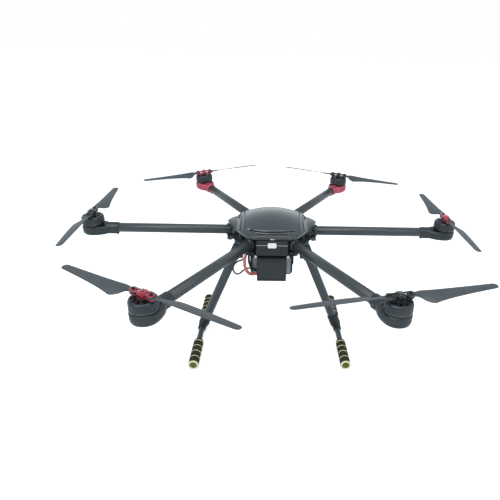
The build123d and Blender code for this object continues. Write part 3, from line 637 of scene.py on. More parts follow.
def stadium(x, y, length, width, turn=0.0, count=12):
    """A slot's outline: two half circles joined by straight sides."""
    half, radius = (length - width) / 2, width / 2
    points = []
    for end in (1, -1):
        for step in range(count + 1):
            angle = -math.pi / 2 + math.pi * step / count + (0 if end > 0 else math.pi)
            px, py = end * half + radius * math.cos(angle), radius * math.sin(angle)
            points.append((x + px * math.cos(turn) - py * math.sin(turn),
                           y + px * math.sin(turn) + py * math.cos(turn)))
    return points


def rounded(points, radius, count=5):
    """Round every corner of an outline."""
    result = []
    for before, here, after in zip(points[-1:] + points[:-1], points, points[1:] + points[:1]):
        before, here, after = Vector(before), Vector(here), Vector(after)
        into, out = (here - before).normalized(), (after - here).normalized()
        turn = into.angle(out) if into.length and out.length else 0
        if turn < 0.05:
            result.append(tuple(here))
            continue
        cut = min(radius * math.tan(turn / 2), 0.45 * (here - before).length, 0.45 * (after - here).length)
        start, end = here - into * cut, here + out * cut
        for step in range(count + 1):
            share = step / count
            point = start.lerp(here, share).lerp(here.lerp(end, share), share)
            result.append(tuple(point))
    return result


def rectangle(x, y):
    return [(x[0], y[0]), (x[1], y[0]), (x[1], y[1]), (x[0], y[1])]


def cut_plate(name, outlines, low, high, material, edge=0.3):
    """A flat piece with softened edges. The first outline is its edge, the others are holes."""
    curve = bpy.data.curves.new(name, "CURVE")
    curve.dimensions = "2D"
    curve.fill_mode = "BOTH"
    curve.extrude = (high - low) / 2 - edge
    curve.bevel_depth = edge
    curve.bevel_resolution = 1
    curve.offset = -edge
    for outline in outlines:
        line = curve.splines.new("POLY")
        line.points.add(len(outline) - 1)
        for point, (x, y) in zip(line.points, outline):
            point.co = (x, y, 0, 1)
        line.use_cyclic_u = True
    holder = bpy.data.objects.new(name, curve)
    mesh = bpy.data.meshes.new_from_object(holder)
    bpy.data.objects.remove(holder)
    bpy.data.curves.remove(curve)
    shape = bmesh.new()
    shape.from_mesh(mesh)
    bpy.data.meshes.remove(mesh)
    for vertex in shape.verts:
        vertex.co.z += (low + high) / 2
    return finish_mesh(shape, name, material, 30)


def socket_screw(shape, place, head_r=2.8, head_h=2.6, key_r=1.4):
    """A cap screw's head with its hexagon socket, standing on the place's origin."""
    start = len(shape.verts)
    turned(shape, [(0, 0), (head_r, 0), (head_r, head_h - 0.35), (head_r - 0.35, head_h),
                   (key_r * 1.25, head_h)], 24)
    rim = [(key_r * 1.25, head_h), (key_r, head_h - 0.05)]
    turned(shape, rim + [(key_r * 0.98, head_h * 0.35), (0, head_h * 0.35)], 24)
    moved(shape, start, place)


def standing(x, y, z, direction=(0, 0, 1)):
    """A place in millimetres whose Z points along a direction."""
    turn = Vector(direction).to_track_quat("Z", "Y").to_matrix().to_4x4()
    return Matrix.Translation((x, y, z)) @ turn


def smooth_step(value):
    value = min(max(value, 0.0), 1.0)
    return value * value * (3 - 2 * value)


def bump(distance, half_width):
    """1 on a line and 0 half_width away from it, rounded."""
    return smooth_step(1 - abs(distance) / half_width)


# ---- cords ----------------------------------------------------------------------------------------
RED_ROUTE = [
    (-28, -74, -98), (-43, -74, -98), (-57, -79, -98), (-68, -83, -84),
    (-73, -81, -62), (-68, -64, -38), (-68, -64, -17),
]
BLACK_ROUTE = [
    (-28, -74, -89), (-41, -74, -89), (-53, -76, -82), (-59, -78, -66),
    (-61, -76, -48), (-59, -70, -34), (-59, -70, -17),
]
SIGNAL_ROUTE = [
    (-55, -63, -87), (-66, -63, -87), (-77, -66, -93), (-87, -69, -103), (-99, -71, -100),
    (-104, -72, -84), (-99, -72, -70), (-88, -72, -61), (-76, -69, -60), (-70, -58, -50),
    (-74, -55, -34), (-74, -55, -17),
]


def cord_piece(name, route, diameter, node, material):
    """A limp lead that leaves the object at one end and goes back into it at the other."""
    curve = bpy.data.curves.new(name, "CURVE")
    curve.dimensions = "3D"
    curve.bevel_depth = diameter / 2 * MM
    curve.bevel_resolution = 8
    curve.resolution_u = 16
    curve.use_fill_caps = True
    line = curve.splines.new("NURBS")
    line.points.add(len(route) - 1)
    for point, (x, y, z) in zip(line.points, route):
        point.co = (x * MM, y * MM, (z + ARM_Z) * MM, 1)
    line.order_u = 3
    line.use_endpoint_u = True
    curve.materials.append(material)
    piece = bpy.data.objects.new(name, curve)
    bpy.context.scene.collection.objects.link(piece)
    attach(piece, "hub")
    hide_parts(node)
    x, y, z = route[0]
    return piece


def build_cords():
    cord_piece("red_lead", RED_ROUTE, 8.0, "red_power_lead", RED_SILICONE)
    cord_piece("black_lead", BLACK_ROUTE, 6.2, "black_power_lead", BLACK_SILICONE)
    cord_piece("signal_loop", SIGNAL_ROUTE, 4.4, "signal_cable", BLACK_SILICONE)


# ---- arms -----------------------------------------------------------------------------------------
TUBE_R = 12.5
COLLAR = (110.0, 124.0)
SLEEVE = (414.0, 447.0)


def arm_tube_mesh():
    shape = bmesh.new()
    inner = TUBE_R - 1
    low, high = COLLAR[0] + 3.4, SLEEVE[1] - 1
    profile = [(inner, low), (TUBE_R - 0.2, low), (TUBE_R, low + 0.2), (TUBE_R, high - 0.2),
               (TUBE_R - 0.2, high), (inner, high)]
    turned(shape, profile, 96, "X", closed=True)
    return finish_mesh(shape, "arm_tube", CARBON_TUBE, 50)


def arm_knuckle_mesh():
    """Lock collar: a flat face that meets the hinge block, and a deep round mouth for the tube."""
    shape = bmesh.new()
    low, high = COLLAR
    steps = [(0, low + 0.4), (11.2, low + 0.4), (11.6, low), (14.4, low), (15.3, low + 0.9),
             (15.3, low + 4.2),
             (14.7, low + 4.8), (14.7, low + 5.6), (15.6, low + 6.4), (15.6, high - 1.5),
             (15.1, high - 0.4),
             (14.5, high), (14.0, high - 0.5), (13.8, high - 3.4), (12.6, high - 3.8), (12.6, low + 3.2),
             (0, low + 3.2)]
    turned(shape, steps, 96, "X")
    return finish_mesh(shape, "arm_collar", BLACK_METAL, 40)


def arm_lug_mesh():
    """The lug's outline is seen from the side: squared off outside, an eye round the hinge pin inside."""
    pivot, drop = HINGE_X, -PIVOT_DROP
    eye = [(pivot + 7.4 * math.cos(a), drop + 7.4 * math.sin(a))
           for a in (math.radians(step) for step in range(90, 265, 12))]
    square = rounded([(115.0, -29.0), (122.5, -29.0), (122.5, -12.4)], 2.2, 4)[:-1]
    web = [*square[1:], (122.5, -12.4), (COLLAR[0] + 0.4, -12.4), (COLLAR[0] + 0.4, -14.9)]
    mesh = cut_plate("arm_lug", [eye + web, circle(pivot, drop, 3.1, 24)], -6.8, 6.8, BLACK_METAL, 0.5)
    mesh.transform(Matrix.Rotation(math.pi / 2, 4, "X"))
    return mesh


def collar_screws_mesh():
    shape = bmesh.new()
    for turn in (-0.75, 0.75):
        out = Vector((0, math.sin(turn), math.cos(turn)))
        spot = out * 14.9
        socket_screw(shape, standing(COLLAR[0] + 2.6, spot.y, spot.z, out), 1.9, 1.1, 0.9)
    return finish_mesh(shape, "collar_screws", SCREW)


def mount_half_width(x, grow):
    """Half the mount's width at a distance out along the arm: a bowl that flows into a neck."""
    nose, neck = 29.0 + grow, 13.0 + 0.6 * grow
    along = x - MOTOR_R
    if along < 0:
        along /= 1.6
    bowl = math.sqrt(max(nose * nose - along * along, 0.0))
    return bowl if x > MOTOR_R else (neck ** 3 + bowl ** 3) ** (1 / 3)


def mount_outline(grow=0.0, count=30):
    """Plan of the motor mount: round at the motor, waisted where it meets the arm sleeve."""
    tail_x, nose = SLEEVE[0] + 4 - 0.5 * grow, 29.0 + grow
    points = []
    for step in range(count):
        x = tail_x + (MOTOR_R - tail_x) * step / count
        points.append((x, mount_half_width(x, grow)))
    start = mount_half_width(MOTOR_R, grow)
    for step in range(count):
        turn = math.pi / 2 - math.pi / 2 * step / count
        reach = nose + (start - nose) * (1 - step / count) ** 3
        points.append((MOTOR_R + reach * math.cos(turn), reach * math.sin(turn)))
    return points + [(MOTOR_R + nose, 0)] + [(x, -y) for x, y in reversed(points)]


def motor_mount_mesh(material):
    """A streamlined bowl: each level is the plan outline, grown or drawn in."""
    shape = bmesh.new()
    levels = [(-15.0, -7.5), (-14.8, -6.0), (-14.1, -3.9), (-12.9, -2.3), (-11.0, -1.1), (-8.6, -0.4),
              (-6.0, -0.1), (-1.4, 0.0), (-0.9, -0.5), (-0.2, -0.6), (0.3, 0.0), (5.2, 0.0), (6.6, -0.3),
              (7.9, -1.2), (8.7, -2.4), (9.0, -4.2), (7.8, -5.0), (7.6, -8.0)]
    rings = []
    for height, grow in levels:
        rings.append([Vector((x, y, height)) for x, y in mount_outline(grow)])
    lofted(shape, rings)
    return finish_mesh(shape, "motor_mount", material, 32)


def mount_sleeve_mesh(material):
    shape = bmesh.new()
    low, high = SLEEVE
    profile = [(12.6, low + 0.2), (13.4, low), (14.3, low + 0.8), (14.5, low + 2), (14.5, low + 5),
               (13.9, low + 5.6), (13.9, low + 6.6), (14.5, low + 7.2), (14.5, high - 4),
               (13.6, high - 0.5),
               (12.6, high - 0.5)]
    turned(shape, profile, 64, "X", closed=True)
    return finish_mesh(shape, "mount_sleeve", material, 32)


def mount_knob_mesh():
    """The small screw that locks the sleeve, under its inner end."""
    shape = bmesh.new()
    start = len(shape.verts)
    turned(shape, [(0, 0), (3.0, 0), (3.2, 0.4), (3.2, 1.2), (3.9, 1.8), (3.9, 3.6), (3.4, 4.2), (1.9, 4.2),
                   (1.7, 3.9), (1.7, 2.4), (0, 2.4)], 32)
    moved(shape, start, standing(SLEEVE[0] + 5, 0, -14.3, (0, 0, -1)))
    return finish_mesh(shape, "mount_knob", SCREW)


def mount_floor_mesh(material):
    """Eight vent marks on the mount's underside, painted near-black as shade."""
    shape = bmesh.new()
    # near-black oval marks standing proud of the underside: painted shade for the vent openings
    for index in range(8):
        turn = math.tau * index / 8
        spot = Vector((MOTOR_R + 15.5 * math.cos(turn), 15.5 * math.sin(turn), -15.05))
        start = len(shape.verts)
        turned(shape, [(0, 0), (0, -0.25), (1.5, -0.25), (1.5, 0)], 16)
        moved(shape, start, Matrix.Translation(spot) @ Matrix.Rotation(turn, 4, "Z")
              @ Matrix.Diagonal((3.0, 1.0, 1.0, 1.0)))
    return finish_mesh(shape, "mount_vents", material)


def mount_screws_mesh():
    shape = bmesh.new()
    for index in range(4):
        turn = math.tau * (index + 0.5) / 4
        socket_screw(shape, standing(MOTOR_R + 9.5 * math.cos(turn), 9.5 * math.sin(turn), -14.7,
                                     (0, 0, -1)),
                     2.2, 1.3, 1.0)
    for side in (-1, 1):
        socket_screw(shape, standing(SLEEVE[0] + 16, side * 12.9, -5.0, (0, side, 0)), 1.9, 1.4, 0.9)
    return finish_mesh(shape, "mount_screws", SCREW)


def stator_meshes():
    """Laminated teeth on a hub, and the copper wound round each of them."""
    iron, wire = bmesh.new(), bmesh.new()
    turned(iron, [(8.1, 9.0), (26.6, 9.0), (26.9, 9.4), (26.9, 11.4), (26.4, 11.9), (12.0, 11.9),
                  (12.0, 14.0), (12.0, 28.0),
                  (10.0, 28.6), (8.1, 28.6)], 48, closed=True)
    for index in range(12):
        turn = Matrix.Rotation(math.tau * index / 12, 4, "Z")
        start = len(iron.verts)
        boxed(iron, (11.6, 21.2), (-1.4, 1.4), (14.2, 27.8))
        boxed(iron, (21.0, 23.4), (-4.3, 4.3), (14.2, 27.8))
        moved(iron, start, turn)
        start = len(wire.verts)
        rings = []
        for x, wide in ((12.6, 1.7), (13.2, 2.5), (16.0, 3.2), (19.6, 3.7), (20.6, 3.4)):
            corner = rounded(rectangle((-wide, wide), (13.0, 29.0)), 1.4, 3)
            rings.append([Vector((x, y, z)) for y, z in corner])
        lofted(wire, rings)
        moved(wire, start, turn)
    return finish_mesh(iron, "stator", LAMINATE), finish_mesh(wire, "windings", COPPER, 50)


# ---- motor bells and propellers ---------------------------------------------------------------------
CAN_R = 28.5
BELL_LOW, BELL_TOP = 12.6, 34.5
CLAMP_LOW, CLAMP_HIGH, CLAMP_T = PROP_LIFT - 5.0, PROP_LIFT + 2.6, 2.4
FOLD_R = 22.0


def bell_wall_mesh():
    """The can's side: a plain flux band below, and shallow upright flutes up to the shoulder."""
    shape = bmesh.new()
    sides = 144
    wall = 25.4
    low, high = BELL_LOW, BELL_TOP
    levels = [(wall, low), (28.0, low), (CAN_R, low + 0.6), (CAN_R, low + 3.8), (27.9, low + 4.2),
              (27.9, low + 4.9), (CAN_R, low + 5.3), (CAN_R, 21.0), (CAN_R, high - 6.0), (28.1, high - 4.3),
              (27.3, high - 2.6), (26.2, high - 1.4), (24.9, high - 0.7), (wall - 1.2, high - 0.4),
              (wall - 1.2, high - 3.1), (wall, high - 3.5)]
    turned(shape, levels, sides, closed=True)
    for vertex in shape.verts:
        radius = math.hypot(vertex.co.x, vertex.co.y)
        height = vertex.co.z
        if radius > 26.5 and height > low + 5.1:
            fade = 1 - smooth_step((height - high + 6.5) / 4.5)
            turn = math.atan2(vertex.co.y, vertex.co.x)
            groove = 1.05 * fade * smooth_step(0.5 - 0.5 * math.cos(24 * turn))
            vertex.co.x *= 1 - groove / radius
            vertex.co.y *= 1 - groove / radius
    return finish_mesh(shape, "bell_wall", BELL, 42)


def bell_top_mesh():
    """The can's top: ten cooling slots between spokes."""
    holes = [stadium(17.4 * math.cos(a), 17.4 * math.sin(a), 10.0, 3.6, a)
             for a in (math.tau * step / 10 for step in range(10))]
    return cut_plate("bell_top", [circle(0, 0, 25.6, 96), *holes, circle(0, 0, 3.1)], 31.6, BELL_TOP,
                     BELL, 0.6)


def bell_boss_mesh():
    shape = bmesh.new()
    low, high = BELL_TOP - 0.4, CLAMP_LOW
    turned(shape, [(3.05, low), (10.2, low), (9.6, low + 0.9), (8.0, low + 1.4), (8.0, high), (3.05, high)],
           48, closed=True)
    return finish_mesh(shape, "bell_boss", BELL)


def magnet_mesh():
    shape = bmesh.new()
    for index in range(14):
        turn = Matrix.Rotation(math.tau * (index + 0.5) / 14, 4, "Z")
        boxed(shape, (23.9, 25.3), (-4.7, 4.7), (13.0, 29.0), turn)
    return finish_mesh(shape, "magnets", STEEL)


def shaft_mesh():
    shape = bmesh.new()
    top = PROP_LIFT + 9
    turned(shape, [(0, 11.2), (2.6, 11.2), (2.97, 11.6), (2.97, top - 0.6), (2.4, top), (0, top)], 32)
    return finish_mesh(shape, "motor_shaft", STEEL)


def clamp_outline():
    """A bow tie: a round middle, waisted arms and an eye at each fold bolt."""
    points = []
    for step in range(144):
        turn = math.tau * step / 144
        reach = 11.0
        dx, dy = math.cos(turn), math.sin(turn)
        for centre in (FOLD_R, -FOLD_R):
            inside = 8.05 ** 2 - (centre * dy) ** 2
            if inside > 0 and centre * dx > 0:
                reach = max(reach, centre * dx + math.sqrt(inside))
        edge = 7.0 / abs(dy) if abs(dy) > 1e-6 else 99
        if abs(dx) * edge < FOLD_R:
            reach = max(reach, min(edge, FOLD_R / max(abs(dx), 1e-6)))
        points.append((reach * dx, reach * dy))
    return points


def clamp_plate_mesh(name, low, material, windows):
    """Milled plate. The upper one has two long windows either side of the middle."""
    holes = [circle(side * FOLD_R, 0, 2.05, 24) for side in (-1, 1)] + [circle(0, 0, 3.05, 32)]
    if windows:
        holes += [stadium(side * 12.2, 0, 8.6, 4.2) for side in (-1, 1)]
    outline = clamp_outline()
    return cut_plate(name, [outline, *holes], low, low + CLAMP_T, material, 0.5)


def clamp_middle_mesh(material):
    """Spacer between the plates, and the hexagon cap that pulls the clamp on to the shaft."""
    shape = bmesh.new()
    low, high = PROP_LIFT - 2.5, PROP_LIFT + 2.5
    turned(shape, [(3.05, low), (6.4, low), (6.0, PROP_LIFT - 1.5), (6.0, PROP_LIFT + 1.5), (6.4, high),
                   (3.05, high)], 40, closed=True)
    top = CLAMP_HIGH + CLAMP_T
    turned(shape, [(3.05, top), (6.9, top), (6.9, top + 0.5), (6.3, top + 0.9), (3.05, top + 0.9)], 40,
           closed=True)
    cap = [(5.0, 0.8), (5.6, 1.2), (5.6, 3.2), (5.0, 3.9), (2.4, 4.0), (0.0, 4.0)]
    turned(shape, [(0.0, top + 0.8)] + [(radius, top + rise) for radius, rise in cap], 6)
    return finish_mesh(shape, "clamp_middle", material)


def fold_bolts_mesh():
    shape = bmesh.new()
    top, low = CLAMP_HIGH + CLAMP_T, CLAMP_LOW
    for side in (-1, 1):
        place = Matrix.Translation((side * FOLD_R, 0, 0))
        socket_screw(shape, place @ Matrix.Translation((0, 0, top)), 3.6, 2.5, 1.5)
        start = len(shape.verts)
        turned(shape, [(0, low - 0.2), (2.0, low - 0.2), (2.0, top), (0, top)], 24)
        turned(shape, [(0, low - 2.3), (3.0, low - 2.3), (3.35, low - 1.9), (3.35, low), (0, low)], 6)
        moved(shape, start, place)
    return finish_mesh(shape, "fold_bolts", SCREW)


# ---- blades -----------------------------------------------------------------------------------------
PROP_TIP = 215.5
BLADE_ROOT, BLADE_WIDEST = 30.7, 66.0
PITCH = 147.0            # advance per turn
BLADE_LEAD = 6.8         # leading edge ahead of the span line
ROOT_TRAIL, TRAIL_GAIN = -6.6, 17.9      # trailing edge at the root, and what it gains to the widest part
WIDEST_TRAIL, TRAIL_LOSS = -24.5, 15.3   # the same from the widest part out to the tip
TIP_ROUND = 9.0          # length of the rounded tip


def blade_chord(distance):
    """Leading and trailing edge at a distance from the motor axis."""
    if distance < BLADE_WIDEST:
        share = smooth_step((distance - BLADE_ROOT) / (BLADE_WIDEST - BLADE_ROOT))
        trail = ROOT_TRAIL - TRAIL_GAIN * share
    else:
        share = max(0.0, (distance - BLADE_WIDEST) / (PROP_TIP - BLADE_WIDEST)) ** 0.85
        trail = WIDEST_TRAIL + TRAIL_LOSS * share
    lead = BLADE_LEAD
    inside = max(0.0, distance - PROP_TIP + TIP_ROUND) / TIP_ROUND
    narrow = math.sqrt(max(0.0, 1 - 0.86 * inside ** 2.4))
    middle = (lead + trail) / 2
    return middle + (lead - middle) * narrow, middle + (trail - middle) * narrow


def blade_ring(distance, count=14):
    """An aerofoil section across the span, pitched for a constant advance."""
    lead, trail = blade_chord(distance)
    chord = lead - trail
    twist = smooth_step((distance - BLADE_ROOT + 6) / 26)
    rise = twist * PITCH / (math.tau * distance)
    thick = (3.8 - 2.4 * smooth_step((distance - BLADE_ROOT) / 60) - 0.5 * distance / PROP_TIP) / 2
    ring = []
    for side in (1, -1):
        for step in range(count):
            share = 0.5 - 0.5 * math.cos(math.pi * (step + 0.5) / count)
            share = share if side > 0 else 1 - share
            y = trail + chord * share
            full = 1.9 * math.sqrt(max(1 - share, 0)) * share ** 0.8
            lift = 0.03 * chord * twist * 4 * share * (1 - share)
            ring.append(Vector((distance, y, y * rise + lift + side * thick * min(1.0, full + 0.1))))
    return ring


def blade_mesh(spin):
    """Root eye, neck and blade along +X. spin is its sense of rotation, +1 for anticlockwise."""
    shape = bmesh.new()
    eye, half = 7.4, 2.25
    stations = [BLADE_ROOT + (BLADE_WIDEST - BLADE_ROOT) * k / 14 for k in range(14)]
    stations += [BLADE_WIDEST + (PROP_TIP - TIP_ROUND - BLADE_WIDEST) * k / 24 for k in range(24)]
    stations += [PROP_TIP - TIP_ROUND * (1 - k / 8) ** 1.4 for k in range(9)]
    rings = [blade_ring(distance) for distance in stations]
    lofted(shape, rings)
    rings = []
    for x, wide, thick in ((FOLD_R + 2.7, 5.6, 2.2), (FOLD_R + 6, 5.8, 2.2), (BLADE_ROOT - 0.6, 6.0, 1.9),
                           (BLADE_ROOT + 2.5, 6.0, 1.6)):
        outline = rounded(rectangle((-wide, wide), (-thick, thick)), 1.1, 3)
        rings.append([Vector((x, y, z)) for y, z in outline])
    lofted(shape, rings)
    turned(shape, [(2.1, -half), (eye - 0.5, -half), (eye, -half + 0.5), (eye, half - 0.5),
                   (eye - 0.5, half), (2.1, half)], 40, centre=(FOLD_R, 0, 0), closed=True)
    for index in range(3):
        ribs = FOLD_R + 9.5 + 3.4 * index
        width = 5.2 + 0.9 * index
        boxed(shape, (ribs, ribs + 1.1), (-width, width - 0.6), (1.2 - 0.15 * index, 2.15 - 0.2 * index))
    for vertex in shape.verts:
        vertex.co.z += PROP_LIFT
        if spin < 0:
            vertex.co.y = -vertex.co.y
    return finish_mesh(shape, f"blade_{'left' if spin < 0 else 'right'}_hand", BLADE, 42)


def build_arms():
    tube, collar = arm_tube_mesh(), arm_knuckle_mesh()
    lug, collar_screws = arm_lug_mesh(), collar_screws_mesh()
    mounts = {True: motor_mount_mesh(RED_MOUNT), False: motor_mount_mesh(BLACK_MOUNT)}
    sleeves = {True: mount_sleeve_mesh(RED_MOUNT), False: mount_sleeve_mesh(BLACK_MOUNT)}
    knob, vents, screws = mount_knob_mesh(), mount_floor_mesh(VENT_SHADE), mount_screws_mesh()
    iron, wire = stator_meshes()
    for name in ARMS:
        body, place, red = f"arm_{name}", ON_ARM[name], name in RED_MOUNTS
        finish = "red_mount" if red else "black_mount"
        put(f"tube_{name}", tube, place, body, f"arm_{name}", slot="carbon_tube")
        put(f"collar_{name}", collar, place, body, slot="anodised_black")
        put(f"lug_{name}", lug, place, body, slot="anodised_black")
        put(f"collar_screws_{name}", collar_screws, place, body)
        put(f"mount_{name}", mounts[red], place, body, f"motor_mount_{name}", slot=finish)
        put(f"sleeve_{name}", sleeves[red], place, body, slot=finish)
        put(f"knob_{name}", knob, place, body)
        put(f"mount_vents_{name}", vents, place, body)
        put(f"mount_screws_{name}", screws, place, body)
        still = place @ Matrix.Translation((MOTOR_R * MM, 0, 0))
        put(f"stator_{name}", iron, still, body)
        put(f"windings_{name}", wire, still, body)


def build_propellers():
    wall, top, boss, magnets, shaft = (bell_wall_mesh(), bell_top_mesh(), bell_boss_mesh(), magnet_mesh(),
                                       shaft_mesh())
    lower = {True: clamp_plate_mesh("clamp_lower", CLAMP_LOW, RED_CLAMP, False)}
    upper = {True: clamp_plate_mesh("clamp_upper", CLAMP_HIGH, RED_CLAMP, True)}
    middle = {True: clamp_middle_mesh(RED_CLAMP)}
    for pair in (lower, upper, middle):
        pair[False] = recoloured(pair[True], BLACK_CLAMP)
    bolts = fold_bolts_mesh()
    blades = {spin: blade_mesh(spin) for spin in (-1, 1)}
    for name in ARMS:
        body, place, red = f"rotor_{name}", ON_MOTOR[name], name in RED_CLAMPS
        finish = "red_clamp" if red else "black_clamp"
        put(f"bell_wall_{name}", wall, place, body, f"rotor_bell_{name}", slot="motor_can")
        put(f"bell_top_{name}", top, place, body, slot="motor_can")
        put(f"bell_boss_{name}", boss, place, body, slot="motor_can")
        put(f"magnets_{name}", magnets, place, body)
        put(f"shaft_{name}", shaft, place, body)
        put(f"clamp_lower_{name}", lower[red], place, body, f"prop_clamp_{name}", slot=finish)
        put(f"clamp_upper_{name}", upper[red], place, body, slot=finish)
        put(f"clamp_middle_{name}", middle[red], place, body, slot=finish)
        put(f"fold_bolts_{name}", bolts, place, body)
        for letter, turn in (("a", 0.0), ("b", math.pi)):
            put(f"prop_{letter}_{name}", blades[SPIN[name]], place @ Matrix.Rotation(turn, 4, "Z"),
                f"blade_{letter}_{name}", f"blade_{letter}_{name}", slot="blade")


# ---- canopy ---------------------------------------------------------------------------------------
HUB_R = 121.0
RIM_Z, CROWN_Z, WING_Z = 17.0, 52.0, 28.0
CROWN_ACROSS, CROWN_ALONG = 410.0, 470.0     # the crown falls by distance squared over these
CROWN_DEPTH, WING_DEPTH = 6.2, 3.0           # from the outer surface down to the inner one
CROWN_HALF = 84.0                            # the crown's inner surface ends here, the wing's begins
RIDGES = (74.5, 84.5)


def hex_reach(turn, radius, bulge=2.6, corner=7.0):
    """Distance to a bowed hexagon with rounded corners, in a direction."""
    around = (turn + math.pi / 6) % (math.pi / 3) - math.pi / 6
    from_flat = math.pi / 6 - abs(around)
    flat = radius * math.cos(math.pi / 6)
    half = radius / 2
    reach = flat / math.cos(from_flat)
    along = min(flat * math.tan(from_flat), half)
    bow = bulge * (1 - (along / half) ** 2)
    blunt = corner * 0.155 * bump(half - along, corner * 1.8)
    return reach + bow - blunt


# the two grooves of the front mouth: middle, half width, depth, half length, depth of the near-black strip
# painted in as shade
MOUTH = ((1.5, 4.4, 6.0, 64.0, 2.2), (-6.8, 3.4, 4.2, 46.0, 1.6))
VENT_TIP, VENT_LONG, VENT_Y = 107.0, 19.0, 18.0


def mouth_line(x):
    """Where the front mouth runs, as a y for every x."""
    return -73 - 22.5 * (1 - (x / 66) ** 2)


def vent_half(along):
    """Half the width of a side vent, at a distance inwards from its tip."""
    return 0.8 + 0.32 * along


def crown_dip(x, y):
    """How far the crown sinks into the grooves of the mouth and into the side vents."""
    dip = 0.0
    for middle, half, depth, reach, _ in MOUTH:
        dip -= depth * bump(y - mouth_line(x) - middle, half) * smooth_step((reach - abs(x)) / 10)
    along = VENT_TIP - abs(x)
    if 0 < along < VENT_LONG:
        within = smooth_step((vent_half(along) - abs(y - VENT_Y)) / 2.2)
        dip -= 4.2 * within * smooth_step((VENT_LONG - along) / 2.5)
    return dip


def crown_height(x, y):
    """Outer surface of the canopy above the arm axes."""
    across = abs(x)
    ridge_fade = smooth_step((84 - abs(y)) / 20)
    crown = CROWN_Z - x * x / CROWN_ACROSS - y * y / CROWN_ALONG
    crown += sum(1.3 * bump(across - line, 3.6) for line in RIDGES) * ridge_fade
    crown -= 0.9 * bump(across - sum(RIDGES) / 2, 4.5) * ridge_fade
    wing = WING_Z - y * y / 400
    return crown + (wing - crown) * smooth_step((across - 86) / 13)


def crown_inside(x, y):
    """Inner surface of the canopy: it follows the crown, and lies lower over the arm roots."""
    inside = CROWN_Z - CROWN_DEPTH - x ** 2 / CROWN_ACROSS - y ** 2 / CROWN_ALONG
    if abs(x) >= CROWN_HALF:
        inside = min(inside, WING_Z - WING_DEPTH)
    return max(inside, RIM_Z + 0.4)


def canopy_mesh():
    """One moulded shell: crown, a rolled rim, and the inside face."""
    shape = bmesh.new()
    sides, steps = 420, 84
    rings = []
    for step in range(1, steps + 1):
        share = math.sin(step / steps * math.pi / 2 * 0.97) / math.sin(math.pi / 2 * 0.97)
        ring = []
        for k in range(sides):
            turn = math.tau * k / sides
            reach = hex_reach(turn, HUB_R) - 2.4
            x, y = share * reach * math.cos(turn), share * reach * math.sin(turn)
            ring.append(Vector((x, y, max(crown_height(x, y) + crown_dip(x, y), RIM_Z + 3.2))))
        rings.append(ring)
    edge = rings[-1]
    for out, drop in ((1.2, 0.5), (2.1, 1.3), (2.4, 2.3)):
        rings.append([p + out * Vector((p.x, p.y, 0)).normalized() - Vector((0, 0, drop)) for p in edge])
    for grow, height in ((2.4, RIM_Z + 2.0), (2.2, RIM_Z + 1.6), (2.4, RIM_Z + 1.2), (2.4, RIM_Z + 0.3),
                         (2.1, RIM_Z), (0.3, RIM_Z), (0.0, RIM_Z + 0.3)):
        rings.append([Vector((p.x, p.y, 0)) + grow * Vector((p.x, p.y, 0)).normalized()
                      + Vector((0, 0, min(height, p.z - 2.4))) for p in edge])
    for share in (0.97, 0.85, 0.65, 0.4, 0.15):
        spots = [(p.x * share, p.y * share) for p in edge]
        rings.append([Vector((x, y, crown_inside(x, y))) for x, y in spots])
    lofted(shape, rings, caps=False)
    shape.verts.ensure_lookup_table()
    for ring, height in ((shape.verts[:sides], CROWN_Z), (shape.verts[-sides:], CROWN_Z - CROWN_DEPTH)):
        middle = shape.verts.new((0, 0, height))
        for k in range(sides):
            shape.faces.new((ring[k], ring[(k + 1) % sides], middle))
    return finish_mesh(shape, "canopy_shell", CANOPY, 40)


def canopy_shade_strips_mesh():
    """Near-black strips down in the front grooves and the side vents: painted shade in these recesses."""
    shape = bmesh.new()
    strips = []
    for middle, half, _, reach, sink in MOUTH:
        ends = [reach * (step / 32 - 1) * 0.97 for step in range(65)]
        strips.append([(x, mouth_line(x) + middle, half * 0.8, sink) for x in ends])
    for side in (-1, 1):
        alongs = [1.0 + step * (VENT_LONG - 2) / 16 for step in range(17)]
        strips.append([(side * (VENT_TIP - a), VENT_Y, vent_half(a) + 0.4, 1.6) for a in alongs])
    for strip in strips:
        rings = []
        for x, y, half, sink in strip:
            corners = ((y - half, sink), (y + half, sink), (y + half, sink + 0.8), (y - half, sink + 0.8))
            rings.append([Vector((x, edge, crown_height(x, edge) - drop)) for edge, drop in corners])
        lofted(shape, rings)
    return finish_mesh(shape, "canopy_shade_strips", VENT_SHADE)


def rim_gasket_mesh():
    """The pale line where the canopy meets the top plate."""
    shape = bmesh.new()
    sides = 240
    rings = []
    for grow, height in ((-3.5, RIM_Z - 1.6), (0.3, RIM_Z - 1.6), (0.6, RIM_Z - 1.2), (0.6, RIM_Z - 0.4),
                         (0.3, RIM_Z - 0.02), (-3.5, RIM_Z - 0.02)):
        ring = []
        for k in range(sides):
            turn = math.tau * k / sides
            reach = hex_reach(turn, HUB_R) + grow - 0.6
            ring.append(Vector((reach * math.cos(turn), reach * math.sin(turn), height)))
        rings.append(ring)
    rings.append(rings[0])
    lofted(shape, rings, caps=False)
    return finish_mesh(shape, "rim_gasket", SHELL_SATIN, 40)


def latch_tab_mesh():
    shape = bmesh.new()
    front = -hex_reach(-math.pi / 2, HUB_R)
    boxed(shape, (-6, 6), (front - 0.2, front + 2.5), (RIM_Z - 1.0, RIM_Z + 1.9))
    return finish_mesh(shape, "latch_tab", SEAM)


# ---- hub frame --------------------------------------------------------------------------------------
def hub_outline(radius):
    """Hexagon with a notch for each arm hinge."""
    points = []
    for index in range(6):
        turn = math.tau * index / 6
        out = Vector((math.cos(turn), math.sin(turn)))
        side = Vector((-out.y, out.x))
        mouth = radius - 13.5 * math.tan(math.pi / 6)
        for across, reach in ((-13.5, mouth), (-13.5, 103.0), (13.5, 103.0), (13.5, mouth)):
            points.append(tuple(out * reach + side * across))
    return points


